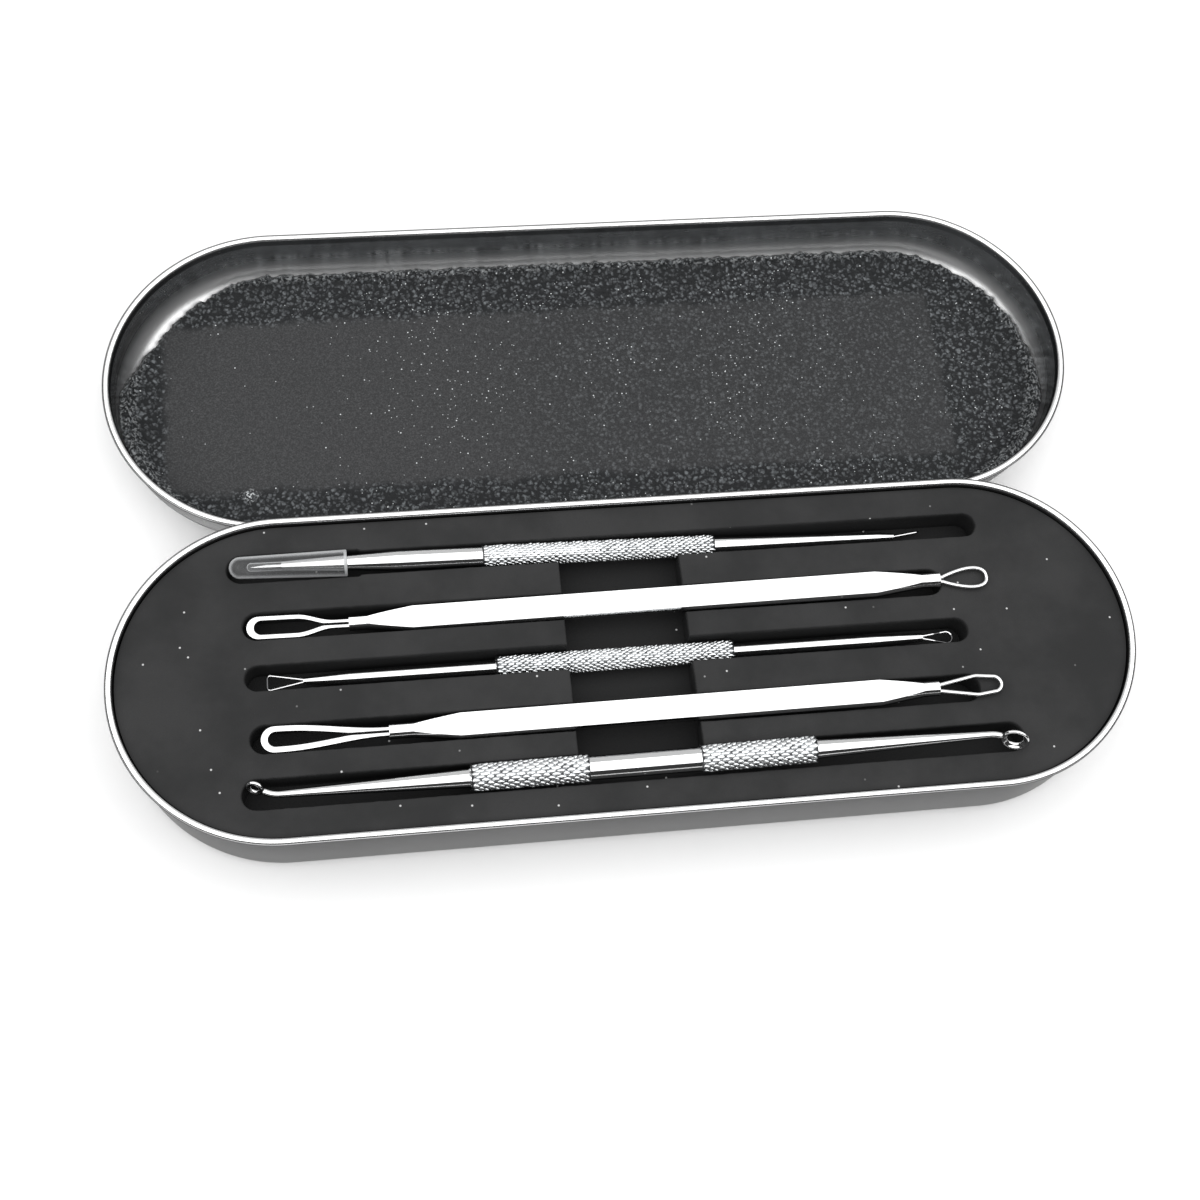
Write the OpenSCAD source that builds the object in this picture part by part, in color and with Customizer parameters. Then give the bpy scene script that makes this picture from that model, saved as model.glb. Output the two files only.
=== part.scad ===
// Tin of blackhead extractors: an oval hinged tin, a foam tray and five double-ended tools.
// The base's centre line runs along X, the lid lies open behind it along +Y, and Z is up.
// The origin is on the base's underside, at the middle of the base.

/* [Tin] */
// Half the length of the straight sides of the base and the lid
side_half = 57.4; // [54:0.1:62]
// Radius of the base's round ends, inside its wall
base_inner_r = 26.55; // [26.4:0.05:29]
// Height of the base, to the top of its rolled rim
base_h = 17; // [16:0.1:18.5]
// Thickness of the tin sheet
tin_t = 0.3; // [0.2:0.02:0.4]
// Radius of the bead that is rolled along both rims
bead_r = 0.65; // [0.5:0.05:0.8]
// Outer radius of the base's bottom corner
base_corner_r = 1.5; // [0.8:0.1:3]
// Gap between the base's bead and the wall of the closed lid
lid_gap = 0.4; // [0.2:0.05:0.8]
// Height of the closed tin
closed_h = 22; // [21.6:0.1:24]
// Outer radius of the lid's corner
lid_corner_r = 6; // [2:0.1:7]

/* [Hinge] */
// Distance of each hinge tongue from the middle of the tin
hinge_x = 37; // [12:0.5:50]
// Width of a hinge tongue
tongue_w = 7.6; // [4:0.1:12]
// Running clearance between the lid's bead and the tongue curled round it
curl_clear = 0.08; // [0.04:0.01:0.1]
// Angle that a tongue curls round the bead, from straight above it
curl_angle = 150; // [100:5:170]
// Height of the window left where a tongue is punched out of the wall
window_h = 4.3; // [2:0.1:5]
// Height of the lid's slots beyond its bead, which the tongues pass through
lid_slot_h = 3; // [1.6:0.1:5]
// Room in a lid slot at each side of its tongue
lid_slot_room = 0.5; // [0.2:0.05:1]

/* [Foam] */
// Depth of the tray's surface below the base's rim
tray_drop = 1.3; // [0.8:0.1:2]
// Thickness of the cut layer that holds the tools
cut_layer_t = 5.2; // [4.9:0.1:7]
// Gap between a foam piece and what lies round it
foam_gap = 0.12; // [0.05:0.01:0.3]
// Thickness of the foam sheet in the lid
lid_foam_t = 1.4; // [0.8:0.1:1.5]
// Gap between a tool's grip and each wall of its slot
slot_clear = 0.2; // [0.1:0.05:0.4]
// Width of the finger trench across the slots
trench_w = 20.4; // [12:0.1:26]
// Distance of the trench's middle from the tin's middle, to the left
trench_left = 0.95; // [0:0.05:4]

/* [Shared tool sizes] */
// Depth that a loop's legs reach into the end of their rod
leg_in = 1.6; // [0.8:0.1:3]
// Diameter of the long knurled grips
long_grip_d = 3.9; // [3.6:0.05:4.4]
// Length of the long knurled grips
long_grip_l = 39.6; // [24:0.1:44]
// Width of the flats on the two flat bars
flat_w = 3.8; // [3:0.05:4.2]
// Thickness of the two flat bars
flat_t = 2.2; // [1.6:0.05:2.6]
// Diameter of the fine wire in the small loops
fine_wire_d = 0.38; // [0.3:0.02:0.5]
// Diameter of the wire in the large loops
loop_wire_d = 0.7; // [0.5:0.02:0.8]
// Thickness of the flattened ribbon loops
ribbon_t = 0.7; // [0.4:0.05:1]
// Radius that a fine loop's wire is bent to where it leaves its rod
fine_bend_r = 0.5; // [0.3:0.05:0.8]
// Radius that a large loop's wire is bent to where it leaves its rod
loop_bend_r = 1.2; // [0.6:0.1:2]

/* [Lancet tool] */
// Distance of the tool's axis behind the tin's centre line
lancet_y = 19.25; // [18.9:0.05:20.5]
// Distance of its grip's middle from the tin's middle, to the left
lancet_left = 4; // [2:0.1:6]
// Height of its axis at the grip's middle
lancet_z = 14.2; // [14:0.05:14.6]
// Angle that its needle end lies higher than its loop end
lancet_tilt = 2.1; // [1.6:0.1:2.3]
// Diameter of its rod on the needle side
lancet_back_d = 3.35; // [2.8:0.05:3.5]
// Length of the straight rod between the grip and the back taper
lancet_back_l = 14.1; // [8:0.1:16]
// Length of the back taper, to the needle
lancet_taper_l = 19; // [17:0.1:21]
// Diameter of the rod where the needle leaves it
lancet_taper_d = 1.4; // [1.2:0.05:1.8]
// Diameter of the needle
needle_d = 0.8; // [0.6:0.05:1]
// Length of the needle that stands out of the rod
needle_out = 5; // [4:0.1:6]
// Length of the needle's point
needle_point = 2.4; // [1.5:0.1:3.5]
// Depth that the needle is set into the rod
needle_in = 3; // [2:0.1:5]
// Diameter of the rod's front end at the grip
lancet_front_d = 2.9; // [2.6:0.05:3.2]
// Length of the front rod, without its nose
lancet_front_l = 29.2; // [24:0.1:30]
// Diameter of the front rod at its nose
lancet_front_end_d = 1.75; // [1.5:0.05:2]
// Length of the nose that holds the loop
lancet_nose_l = 2.8; // [2.2:0.1:4]
// Diameter of the nose at the loop
lancet_nose_d = 1.15; // [1.1:0.05:1.4]
// Length of the lancet's loop
lancet_loop_l = 4.8; // [4:0.1:6]
// Width of the lancet's loop
lancet_loop_w = 2.2; // [1.6:0.1:2.6]
// Turn of the loop's plane about the tool, from level
lancet_loop_turn = 114; // [90:1:130]
// Angle that the loop leans towards the back
lancet_loop_lean = 9; // [0:1:10]
// Room in the slot past the loop
lancet_room_front = 9; // [4:0.1:12]

/* [Needle cap] */
// Length of the cap
cap_l = 19.2; // [18.4:0.1:20]
// Thickness of the cap at its closed end
cap_end_t = 2.9; // [1:0.1:4]
// Diameter of the cap at its mouth
cap_mouth_d = 4.5; // [4:0.05:4.7]
// Diameter of the cap where its round end starts
cap_end_d = 3.6; // [3:0.05:4]
// Gap between the cap and the taper that it is pushed onto
cap_clear = 0.03; // [0.01:0.01:0.08]
// Room in the slot beyond the cap
cap_room = 0.5; // [0.3:0.1:2]

/* [Teardrop tool] */
// Distance of the tool's axis behind the tin's centre line
teardrop_y = 9.05; // [8.8:0.05:9.6]
// Distance of its middle from the tin's middle, to the right
teardrop_right = 3; // [2:0.1:4.5]
// Height of its axis at its middle
teardrop_z = 15.25; // [15.15:0.05:15.5]
// Angle that its wire loop lies higher than its ribbon loop
teardrop_tilt = 1.15; // [1:0.05:1.3]
// Length of the full-width bar
teardrop_bar_l = 78; // [70:0.1:80]
// Length of the taper towards the ribbon loop
teardrop_back_taper = 7.5; // [5:0.1:10]
// Length of the neck before the ribbon loop
teardrop_back_neck = 2.9; // [2:0.1:5]
// Length of the taper towards the wire loop
teardrop_front_taper = 8; // [5:0.1:10]
// Length of the neck before the wire loop
teardrop_front_neck = 3.1; // [2:0.1:5]
// Diameter of its necks
teardrop_neck_d = 2.5; // [2.1:0.05:2.9]
// Length of the ribbon loop
short_ribbon_l = 16.6; // [14:0.1:18]
// Width of the ribbon loop
short_ribbon_w = 4.1; // [3.4:0.1:4.5]
// Length of the ribbon loop's closed strands, next to the neck
short_ribbon_neck = 2.4; // [1:0.1:4]
// Length over which the ribbon loop widens
short_ribbon_flare = 6.2; // [4:0.1:8]
// Width of the ribbon along the loop's sides
short_ribbon_side = 0.85; // [0.6:0.05:1.1]
// Width of the ribbon at the loop's round end
short_ribbon_end = 1.3; // [0.8:0.05:1.6]
// Angle that the ribbon loop is bent up from the bar
short_ribbon_bend = 3; // [0:0.5:5]
// Length of the wire loop
teardrop_loop_l = 8.6; // [7:0.1:10]
// Width of the wire loop
teardrop_loop_w = 4.2; // [3.4:0.1:4.6]
// Distance between the wire's two legs at the neck
teardrop_legs = 0.85; // [0.7:0.05:1.2]
// Room in the slot past the ribbon loop
teardrop_room_back = 0.6; // [0.3:0.1:2]
// Room in the slot past the neck of the wire loop, which lies over the foam
teardrop_room_front = 0.6; // [0.3:0.1:2]

/* [Fine-loop tool] */
// Distance of the tool's axis behind the tin's centre line
fine_y = 0.1; // [-0.3:0.05:0.4]
// Distance of its grip's middle from the tin's middle, to the left
fine_left = 3.15; // [1:0.05:5]
// Height of its axis at the grip's middle
fine_z = 12.9; // [12.9:0.05:13.4]
// Diameter of its rod
fine_rod_d = 2.2; // [1.8:0.05:2.8]
// Length of the straight rod at each side of the grip
fine_straight_l = 24; // [18:0.1:26]
// Length of the taper towards the triangle loop
fine_back_taper = 7.3; // [5:0.1:9]
// Length of the taper towards the round loop
fine_front_taper = 8.7; // [5:0.1:9]
// Diameter of the rod at its triangle loop
fine_back_tip_d = 1.15; // [1.1:0.05:1.4]
// Diameter of the rod at its round loop
fine_front_tip_d = 1.4; // [1.1:0.05:1.6]
// Length of the triangle loop
triangle_l = 6; // [5:0.1:7]
// Width of the triangle loop
triangle_w = 2.9; // [2.2:0.1:3.4]
// Radius of the triangle loop's two corners
triangle_corner_r = 0.5; // [0.3:0.05:0.7]
// Length of the round loop
fine_loop_l = 5.4; // [5:0.1:7]
// Width of the round loop
fine_loop_w = 2.4; // [2.2:0.1:3.4]
// Angle that the round loop leans towards the front
fine_loop_lean = 4; // [0:1:6]
// Distance between a fine loop's two legs at the rod
fine_legs = 0.44; // [0.42:0.02:0.6]
// Room in the slot past the triangle loop
fine_room_back = 3.2; // [1:0.1:5]
// Room in the slot past the round loop
fine_room_front = 1.9; // [1:0.1:5]

/* [Long-loop tool] */
// Distance of the tool's axis in front of the tin's centre line
long_front = 10.25; // [9.8:0.05:10.5]
// Distance of its middle from the tin's middle, to the right
long_right = 5; // [4:0.1:6]
// Height of its axis at its middle
long_z = 15.65; // [15.55:0.05:15.8]
// Angle that its wire loop lies higher than its ribbon loop
long_tilt = 0.9; // [0.7:0.05:1.1]
// Length of the full-width bar
long_bar_l = 69; // [60:0.1:72]
// Length of the taper towards the ribbon loop
long_back_taper = 7.6; // [5:0.1:10]
// Length of the neck before the ribbon loop
long_back_neck = 3.8; // [2:0.1:5]
// Length of the taper towards the wire loop
long_front_taper = 7.4; // [5:0.1:10]
// Length of the neck before the wire loop
long_front_neck = 2.5; // [2:0.1:5]
// Diameter of its necks
long_neck_d = 2.5; // [2.1:0.05:2.9]
// Length of the ribbon loop
long_ribbon_l = 20.3; // [17:0.1:22]
// Width of the ribbon loop
long_ribbon_w = 4.5; // [3.6:0.1:4.7]
// Length over which the ribbon loop widens
long_ribbon_flare = 17; // [12:0.1:18]
// Width of the ribbon along the loop's sides
long_ribbon_side = 1.05; // [0.7:0.05:1.3]
// Width of the ribbon at the loop's round end
long_ribbon_end = 1.2; // [0.8:0.05:1.6]
// Angle that the ribbon loop is bent up from the bar
long_ribbon_bend = 1.5; // [0:0.5:3]
// Length of the wire loop
long_loop_l = 11.1; // [9:0.1:12]
// Width of the wire loop at its corners
long_loop_w = 4; // [3.4:0.1:4.6]
// Distance of the wire loop's corners from the neck
long_loop_corner = 6.6; // [5:0.1:8]
// Radius of the wire loop's corners
long_loop_corner_r = 0.8; // [0.5:0.1:1.2]
// Width of the wire loop's round end
long_loop_end_w = 3.1; // [2.8:0.1:3.3]
// Distance between the wire's two legs at the neck
long_legs = 1; // [0.7:0.05:1.3]
// Room in the slot past the ribbon loop
long_room_back = 1.7; // [0.3:0.1:3]
// Length of slot past the neck of the wire loop, whose end lies over the foam
long_room_front = 7.4; // [0.6:0.1:8]

/* [Scoop tool] */
// Distance of the tool's axis in front of the tin's centre line
scoop_front = 19.2; // [18.8:0.05:19.8]
// Distance of its middle from the tin's middle, to the left
scoop_left = 0.7; // [0:0.1:2]
// Height of its axis at its middle
scoop_z = 16.3; // [16.1:0.05:16.4]
// Angle that its large eye lies higher than its small eye
scoop_tilt = 1.25; // [1:0.05:1.3]
// Diameter of its rod between the grips
scoop_rod_d = 3.9; // [3.2:0.05:4.2]
// Length of the rod between the grips
scoop_middle_l = 18; // [12:0.1:24]
// Diameter of its two grips
scoop_grip_d = 4.6; // [4.4:0.05:4.7]
// Length of each grip
scoop_grip_l = 18.8; // [12:0.1:22]
// Diameter of the rod where it leaves a grip's outer end
scoop_taper_d = 3.1; // [2.6:0.05:3.5]
// Length of the taper towards the small eye
scoop_back_taper = 29.9; // [24:0.1:30]
// Length of the taper towards the large eye
scoop_front_taper = 29; // [24:0.1:30]
// Diameter of the rod at both eyes
scoop_neck_d = 1.1; // [0.9:0.05:1.3]
// Radius that the rod's ends are bent to before the eyes
neck_bend_r = 5; // [4:0.1:6]
// Diameter of the small eye
small_eye_d = 3; // [2.8:0.1:3.2]
// Diameter of the hole in the small eye
small_hole_d = 1.2; // [0.8:0.05:1.6]
// Angle that the small eye is bent off the rod
small_eye_bend = 30; // [20:1:32]
// Angle from straight up towards the back that this bend points at
small_bend_roll = 60; // [56:1:64]
// Angle that the small eye is turned about its own length to face the front
small_eye_turn = 127; // [120:1:130]
// Diameter of the large eye
large_eye_d = 4.7; // [3.6:0.1:4.8]
// Diameter of the hole in the large eye
large_hole_d = 2.5; // [1.6:0.05:2.8]
// Angle that the large eye is bent off the rod
large_eye_bend = 21; // [10:1:22]
// Angle from straight up towards the front that this bend points at
large_bend_roll = 86; // [80:1:88]
// Angle that the large eye is turned up about its own length
large_eye_turn = 15; // [12:1:30]
// Radius of the ball that both eyes are dished to
eye_dish_r = 3.2; // [2.8:0.1:5]
// Thickness of both eyes
eye_t = 0.6; // [0.4:0.05:0.8]
// Room in the slot past the small eye
scoop_room_back = 0.5; // [0.3:0.1:2]
// Length of slot past the straight part of the rod, below the large eye
scoop_room_front = 6.5; // [6.4:0.1:7]

/* [Hidden] */
$fn = 72;
// A length that is longer than any cut needs to be
through = 200;
// A cut's reach past the face that it opens
past = 1;

// Steps in a curved outline of a ribbon loop
curve_steps = 14;
// Swelling of a wire at each end of a straight stretch, so that bend and stretch join soundly
wire_swell = 0.02;

tin_colour = "gainsboro";
steel_colour = "silver";
knurl_colour = "lightgray";
tray_colour = [0.22, 0.22, 0.23];
sponge_colour = [0.19, 0.2, 0.2];
cap_colour = [0.9, 0.93, 0.95, 0.4];

// The base's bead lies outside its wall, and the lid's wall lies outside that bead.
base_bead_at = base_inner_r + bead_r;
lid_inner_r = base_inner_r + 2 * bead_r + lid_gap;
hinge_y = lid_inner_r + bead_r;
// The hinge is at half the closed height, so that the open lid lies flat on the table.
hinge_z = closed_h / 2;

// Heights in the foam tray, from the top down.
tray_top = base_h - tray_drop;
cut_floor = tray_top - cut_layer_t;
tray_r = base_inner_r - foam_gap;

// A flat bar is a round rod with two flats, so its radius follows from the flats.
bar_r = sqrt(pow(flat_w / 2, 2) + pow(flat_t / 2, 2));

// Ends of the tools, measured from each tool's own middle.
lancet_back_end = long_grip_l / 2 + lancet_back_l + lancet_taper_l;
lancet_front_end = long_grip_l / 2 + lancet_front_l + lancet_nose_l;
needle_tip = lancet_back_end + needle_out;
cap_end = needle_tip + needle_point / 4 + cap_end_t;
cap_mouth = cap_end - cap_l;
teardrop_back_end = teardrop_bar_l / 2 + teardrop_back_taper + teardrop_back_neck;
teardrop_front_end = teardrop_bar_l / 2 + teardrop_front_taper + teardrop_front_neck;
fine_back_end = long_grip_l / 2 + fine_straight_l + fine_back_taper;
fine_front_end = long_grip_l / 2 + fine_straight_l + fine_front_taper;
long_back_end = long_bar_l / 2 + long_back_taper + long_back_neck;
long_front_end = long_bar_l / 2 + long_front_taper + long_front_neck;
scoop_back_end = scoop_middle_l / 2 + scoop_grip_l + scoop_back_taper;
scoop_front_end = scoop_middle_l / 2 + scoop_grip_l + scoop_front_taper;

// Radius of the lancet's back taper at a distance from its small end.
function back_taper_r(from_end) =
    (lancet_taper_d + (lancet_back_d - lancet_taper_d) * from_end / lancet_taper_l) / 2;

// A smooth step from 0 to 1.
function ease(t) = (1 - cos(180 * min(max(t, 0), 1))) / 2;

// Half-width of a ribbon loop's outline at a distance from its root.
function ribbon_half(at, root, wide, neck, flare) =
    (root + (wide - root) * ease((at - neck) / flare)) / 2;

// Sweeps a half-section round an outline with straight sides and round ends.
// The section's X is the distance from the centre line, and its Y is the height.
module around() {
    for (side = [-1, 1]) {
        translate([side * side_half, 0, 0])
            rotate([0, 0, side * -90])
                rotate_extrude(angle = 180)
                    children();
    }
    for (flip = [0, 1]) {
        mirror([0, flip, 0])
            translate([-side_half, 0, 0])
                rotate([90, 0, 90])
                    linear_extrude(2 * side_half)
                        children();
    }
}

// Half-section of a solid block whose lower outer corner is round.
module round_foot(reach, height, corner) {
    translate([0, corner])
        square([reach, height - corner]);
    square([reach - corner, height]);
    translate([reach - corner, corner])
        circle(corner);
}

// Outline with straight sides and round ends.
module oval(reach) {
    square([2 * side_half, 2 * reach], center = true);
    for (side = [-1, 1]) {
        translate([side * side_half, 0])
            circle(reach);
    }
}

// A straight slot with round ends, from left to right, about a line at y.
module slot_outline(left, right, y, width) {
    translate([left + width / 2, y - width / 2])
        square([right - left - width, width]);
    for (x = [left + width / 2, right - width / 2]) {
        translate([x, y])
            circle(width / 2);
    }
}

// A turned rod along X, from pairs of position and radius.
module turned(stations) {
    last = len(stations) - 1;
    outline = concat([[0, stations[0][0]]], [for (s = stations) [s[1], s[0]]], [[0, stations[last][0]]]);
    rotate([0, 90, 0])
        rotate_extrude()
            polygon(outline);
}

// Places a tool along X, with its right end raised by the tilt.
module lie(x, y, z, tilt) {
    translate([x, y, z])
        rotate([0, -tilt, 0])
            children();
}

module place_lancet() {
    lie(-lancet_left, lancet_y, lancet_z, -lancet_tilt)
        children();
}

module place_teardrop() {
    lie(teardrop_right, teardrop_y, teardrop_z, teardrop_tilt)
        children();
}

module place_fine() {
    lie(-fine_left, fine_y, fine_z, 0)
        children();
}

module place_long() {
    lie(long_right, -long_front, long_z, long_tilt)
        children();
}

module place_scoop() {
    lie(-scoop_left, -scoop_front, scoop_z, scoop_tilt)
        children();
}

// Puts a loop at a tool's left end, pointing left.
module at_left(end) {
    translate([-end, 0, 0])
        mirror([1, 0, 0])
            children();
}

// Puts a loop at a tool's right end, pointing right.
module at_right(end) {
    translate([end, 0, 0])
        children();
}

// The two legs of a wire loop inside its rod.
module wire_legs(wire_d, legs) {
    for (side = [-1, 1]) {
        translate([0, side * legs / 2, 0])
            rotate([0, -90, 0]) {
                cylinder(h = leg_in, d = wire_d);
                sphere(d = wire_d + wire_swell);
            }
    }
}

// A straight stretch of wire in the level plane, from a point and at an angle.
module wire_run(at, angle, length, wire_d) {
    translate([at[0], at[1], 0])
        rotate([0, 90, angle]) {
            cylinder(h = length, d = wire_d);
            sphere(d = wire_d + wire_swell);
            translate([0, 0, length])
                sphere(d = wire_d + wire_swell);
        }
}

// An arc of wire in the level plane about a centre, from an angle on.
module wire_arc(at, radius, from, turn, wire_d) {
    translate([at[0], at[1], 0])
        rotate([0, 0, from])
            rotate_extrude(angle = turn)
                translate([radius, 0])
                    circle(d = wire_d);
}

// Lean of a wire that bends out of its leg and runs on to an arc about a centre.
function lean_to(at, radius, bend, legs) =
    asin((radius + bend) / norm(at - [0, legs / 2 + bend])) + atan2(at[1] - legs / 2 - bend, at[0]);

// One side of a wire loop, from its leg to the arc about a centre.
module wire_side(at, radius, bend, legs, wire_d) {
    lean = lean_to(at, radius, bend, legs);
    run = sqrt(pow(norm(at - [0, legs / 2 + bend]), 2) - pow(radius + bend, 2));
    wire_arc([0, legs / 2 + bend], bend, -90, lean, wire_d);
    wire_run([bend * sin(lean), legs / 2 + bend * (1 - cos(lean))], lean, run, wire_d);
}

// A teardrop of wire: two straight sides that run into a round end.
module teardrop_wire(length, width, wire_d, legs, bend) {
    radius = (width - wire_d) / 2;
    middle = length - width / 2;
    lean = lean_to([middle, 0], radius, bend, legs);
    wire_legs(wire_d, legs);
    wire_arc([middle, 0], radius, -90 - lean, 180 + 2 * lean, wire_d);
    for (flip = [0, 1]) {
        mirror([0, flip, 0])
            wire_side([middle, 0], radius, bend, legs, wire_d);
    }
}

// A triangle of wire: two straight sides, two round corners and a straight end.
module triangle_wire(length, width, wire_d, legs, bend, corner) {
    far = length - wire_d / 2 - corner;
    half = (width - wire_d) / 2 - corner;
    lean = lean_to([far, half], corner, bend, legs);
    wire_legs(wire_d, legs);
    wire_run([far + corner, -half], 90, 2 * half, wire_d);
    for (flip = [0, 1]) {
        mirror([0, flip, 0]) {
            wire_side([far, half], corner, bend, legs, wire_d);
            wire_arc([far, half], corner, 0, 90 + lean, wire_d);
        }
    }
}

// A long loop of wire that widens to two corners and narrows again to a round end.
module cornered_wire(length, width, corner_at, end_w, wire_d, legs, bend, corner) {
    radius = (end_w - wire_d) / 2;
    middle = length - end_w / 2;
    half = (width - wire_d) / 2 - corner;
    reach = norm([middle - corner_at, half]);
    lean = lean_to([corner_at, half], corner, bend, legs);
    slope = asin((radius - corner) / reach) - atan2(half, middle - corner_at);
    run = sqrt(pow(reach, 2) - pow(radius - corner, 2));
    wire_legs(wire_d, legs);
    wire_arc([middle, 0], radius, -90 - slope, 180 + 2 * slope, wire_d);
    for (flip = [0, 1]) {
        mirror([0, flip, 0]) {
            wire_side([corner_at, half], corner, bend, legs, wire_d);
            wire_arc([corner_at, half], corner, 90 + slope, lean - slope, wire_d);
            wire_run([corner_at - corner * sin(slope), half + corner * cos(slope)], slope, run, wire_d);
        }
    }
}

// The strip of a ribbon loop that sits in a slot in the end of its rod.
module ribbon_tail(root) {
    translate([-leg_in, -root / 2, -ribbon_t / 2])
        cube([leg_in, root, ribbon_t]);
}

// A flat loop cut from ribbon, which widens from its root and has a round end.
module ribbon(length, wide, root, neck, flare, side_w, end_w, bend) {
    gap = root / 5;
    full = length - wide / 2;
    hole_r = wide / 2 - side_w;
    hole_end = length - end_w - hole_r;
    edge = [for (i = [0 : curve_steps]) neck + flare * i / curve_steps];
    outer = [for (x = edge) [x, ribbon_half(x, root, wide, neck, flare)]];
    inner = [for (p = outer) [p[0], max(p[1] - side_w, gap / 2)]];
    ribbon_tail(root);
    rotate([0, -bend, 0])
        translate([0, 0, -ribbon_t / 2])
            linear_extrude(ribbon_t)
                difference() {
                    union() {
                        polygon(concat([[0, root / 2]], outer, [[full, wide / 2], [full, -wide / 2]],
                            [for (i = [curve_steps : -1 : 0]) [outer[i][0], -outer[i][1]]], [[0, -root / 2]]));
                        translate([full, 0])
                            circle(wide / 2);
                    }
                    polygon(concat([[-past, gap / 2]], inner, [[hole_end, hole_r], [hole_end, -hole_r]],
                        [for (i = [curve_steps : -1 : 0]) [inner[i][0], -inner[i][1]]], [[-past, -gap / 2]]));
                    translate([hole_end, 0])
                        circle(hole_r);
                }
}

// A small dished eye with a hole, whose edge starts at the origin and which points right.
module eye(outer_d, hole_d) {
    sink = sqrt(pow(eye_dish_r, 2) - pow(outer_d / 2, 2));
    translate([outer_d / 2, 0, sink])
        rotate_extrude()
            intersection() {
                difference() {
                    circle(eye_dish_r);
                    circle(eye_dish_r - eye_t);
                }
                translate([hole_d / 2, -eye_dish_r - past])
                    square([(outer_d - hole_d) / 2, eye_dish_r + past]);
            }
}

// Width of the slot for a tool of this width.
function slot_w(tool_w) = tool_w + 2 * slot_clear;

module lancet_slot() {
    slot_outline(-lancet_left - cap_mouth - cap_room, -lancet_left + lancet_front_end + lancet_loop_l
        + lancet_room_front, lancet_y, slot_w(long_grip_d));
    slot_outline(-lancet_left - cap_end - cap_room, -lancet_left - cap_mouth + cap_mouth_d / 2,
        lancet_y, slot_w(cap_mouth_d));
}

module teardrop_slot() {
    slot_outline(teardrop_right - teardrop_back_end - short_ribbon_l - teardrop_room_back,
        teardrop_right + teardrop_front_end + teardrop_room_front, teardrop_y, slot_w(2 * bar_r));
}

module fine_slot() {
    slot_outline(-fine_left - fine_back_end - triangle_l - fine_room_back,
        -fine_left + fine_front_end + fine_loop_l + fine_room_front, fine_y, slot_w(long_grip_d));
}

module long_slot() {
    slot_outline(long_right - long_back_end - long_ribbon_l - long_room_back,
        long_right + long_front_end + long_room_front, -long_front, slot_w(2 * bar_r));
}

module scoop_slot() {
    slot_outline(-scoop_left - scoop_back_end - neck_bend_r * sin(small_eye_bend) - small_eye_d
        - scoop_room_back, -scoop_left + scoop_front_end + scoop_room_front, -scoop_front,
        slot_w(scoop_grip_d));
}

// The finger trench crosses all five slots and stops at the walls of the outer two.
module trench() {
    low = -scoop_front - slot_w(scoop_grip_d) / 2;
    high = lancet_y + slot_w(long_grip_d) / 2;
    translate([-trench_left - trench_w / 2, low])
        square([trench_w, high - low]);
}

// Half-section of the base's sheet: floor, round corner and wall.
module base_section() {
    difference() {
        round_foot(base_inner_r + tin_t, base_h - bead_r, base_corner_r);
        translate([0, tin_t])
            round_foot(base_inner_r, base_h, base_corner_r - tin_t);
    }
}

// A hinge tongue: a strip out of the wall that curls round the lid's bead.
module tongue() {
    curl_r = bead_r + curl_clear;
    translate([-tongue_w / 2, base_inner_r + tin_t / 2, hinge_z + curl_r])
        cube([tongue_w, hinge_y - base_inner_r - tin_t / 2, tin_t]);
    translate([-tongue_w / 2, hinge_y, hinge_z])
        rotate([90 - curl_angle, 0, 0])
            rotate([90, 0, 90])
                linear_extrude(tongue_w)
                    difference() {
                        circle(curl_r + tin_t);
                        circle(curl_r);
                        translate([-through / 2, -through])
                            square([through, through]);
                        rotate(curl_angle - 180)
                            translate([-through / 2, -through])
                                square([through, through]);
                    }
}

// Base of the tin, with its two hinge tongues punched out of the back wall.
module base_tin() {
    color(tin_colour) {
        difference() {
            union() {
                around()
                    base_section();
                around()
                    translate([base_bead_at, base_h - bead_r])
                        circle(bead_r);
            }
            for (x = [-hinge_x, hinge_x]) {
                translate([x - tongue_w / 2, base_inner_r - past, hinge_z + bead_r + curl_clear - window_h])
                    cube([tongue_w, 2 * past, window_h]);
            }
        }
        for (x = [-hinge_x, hinge_x]) {
            translate([x, 0, 0])
                tongue();
        }
    }
}

// Half-section of the inside of the closed lid, shrunk by a gap, from the rim's height up.
module lid_cavity(gap) {
    translate([0, closed_h - tin_t - gap])
        mirror([0, 1])
            round_foot(lid_inner_r - gap, closed_h - tin_t - gap - hinge_z, lid_corner_r - tin_t - gap);
}

// Half-section of the lid's sheet: top, round corner and wall, down to the bead.
module lid_section() {
    difference() {
        translate([0, closed_h])
            mirror([0, 1])
                round_foot(lid_inner_r + tin_t, closed_h - hinge_z, lid_corner_r);
        translate([0, -past])
            square([lid_inner_r, hinge_z + 2 * past]);
        lid_cavity(0);
    }
}

// Turns what is drawn closed about the hinge, so that it lies open behind the base.
module opened() {
    translate([0, hinge_y, hinge_z])
        rotate([180, 0, 0])
            translate([0, -hinge_y, -hinge_z])
                children();
}

// Lid of the tin, open, with a slot beside its bead for each hinge tongue.
module lid_tin() {
    slot_w = tongue_w + 2 * lid_slot_room;
    color(tin_colour)
        opened() {
            difference() {
                around()
                    lid_section();
                for (x = [-hinge_x, hinge_x]) {
                    translate([x - slot_w / 2, lid_inner_r - past, hinge_z - past])
                        cube([slot_w, 2 * past, lid_slot_h + bead_r + past]);
                }
            }
            around()
                translate([hinge_y, hinge_z])
                    circle(bead_r);
        }
}

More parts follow.
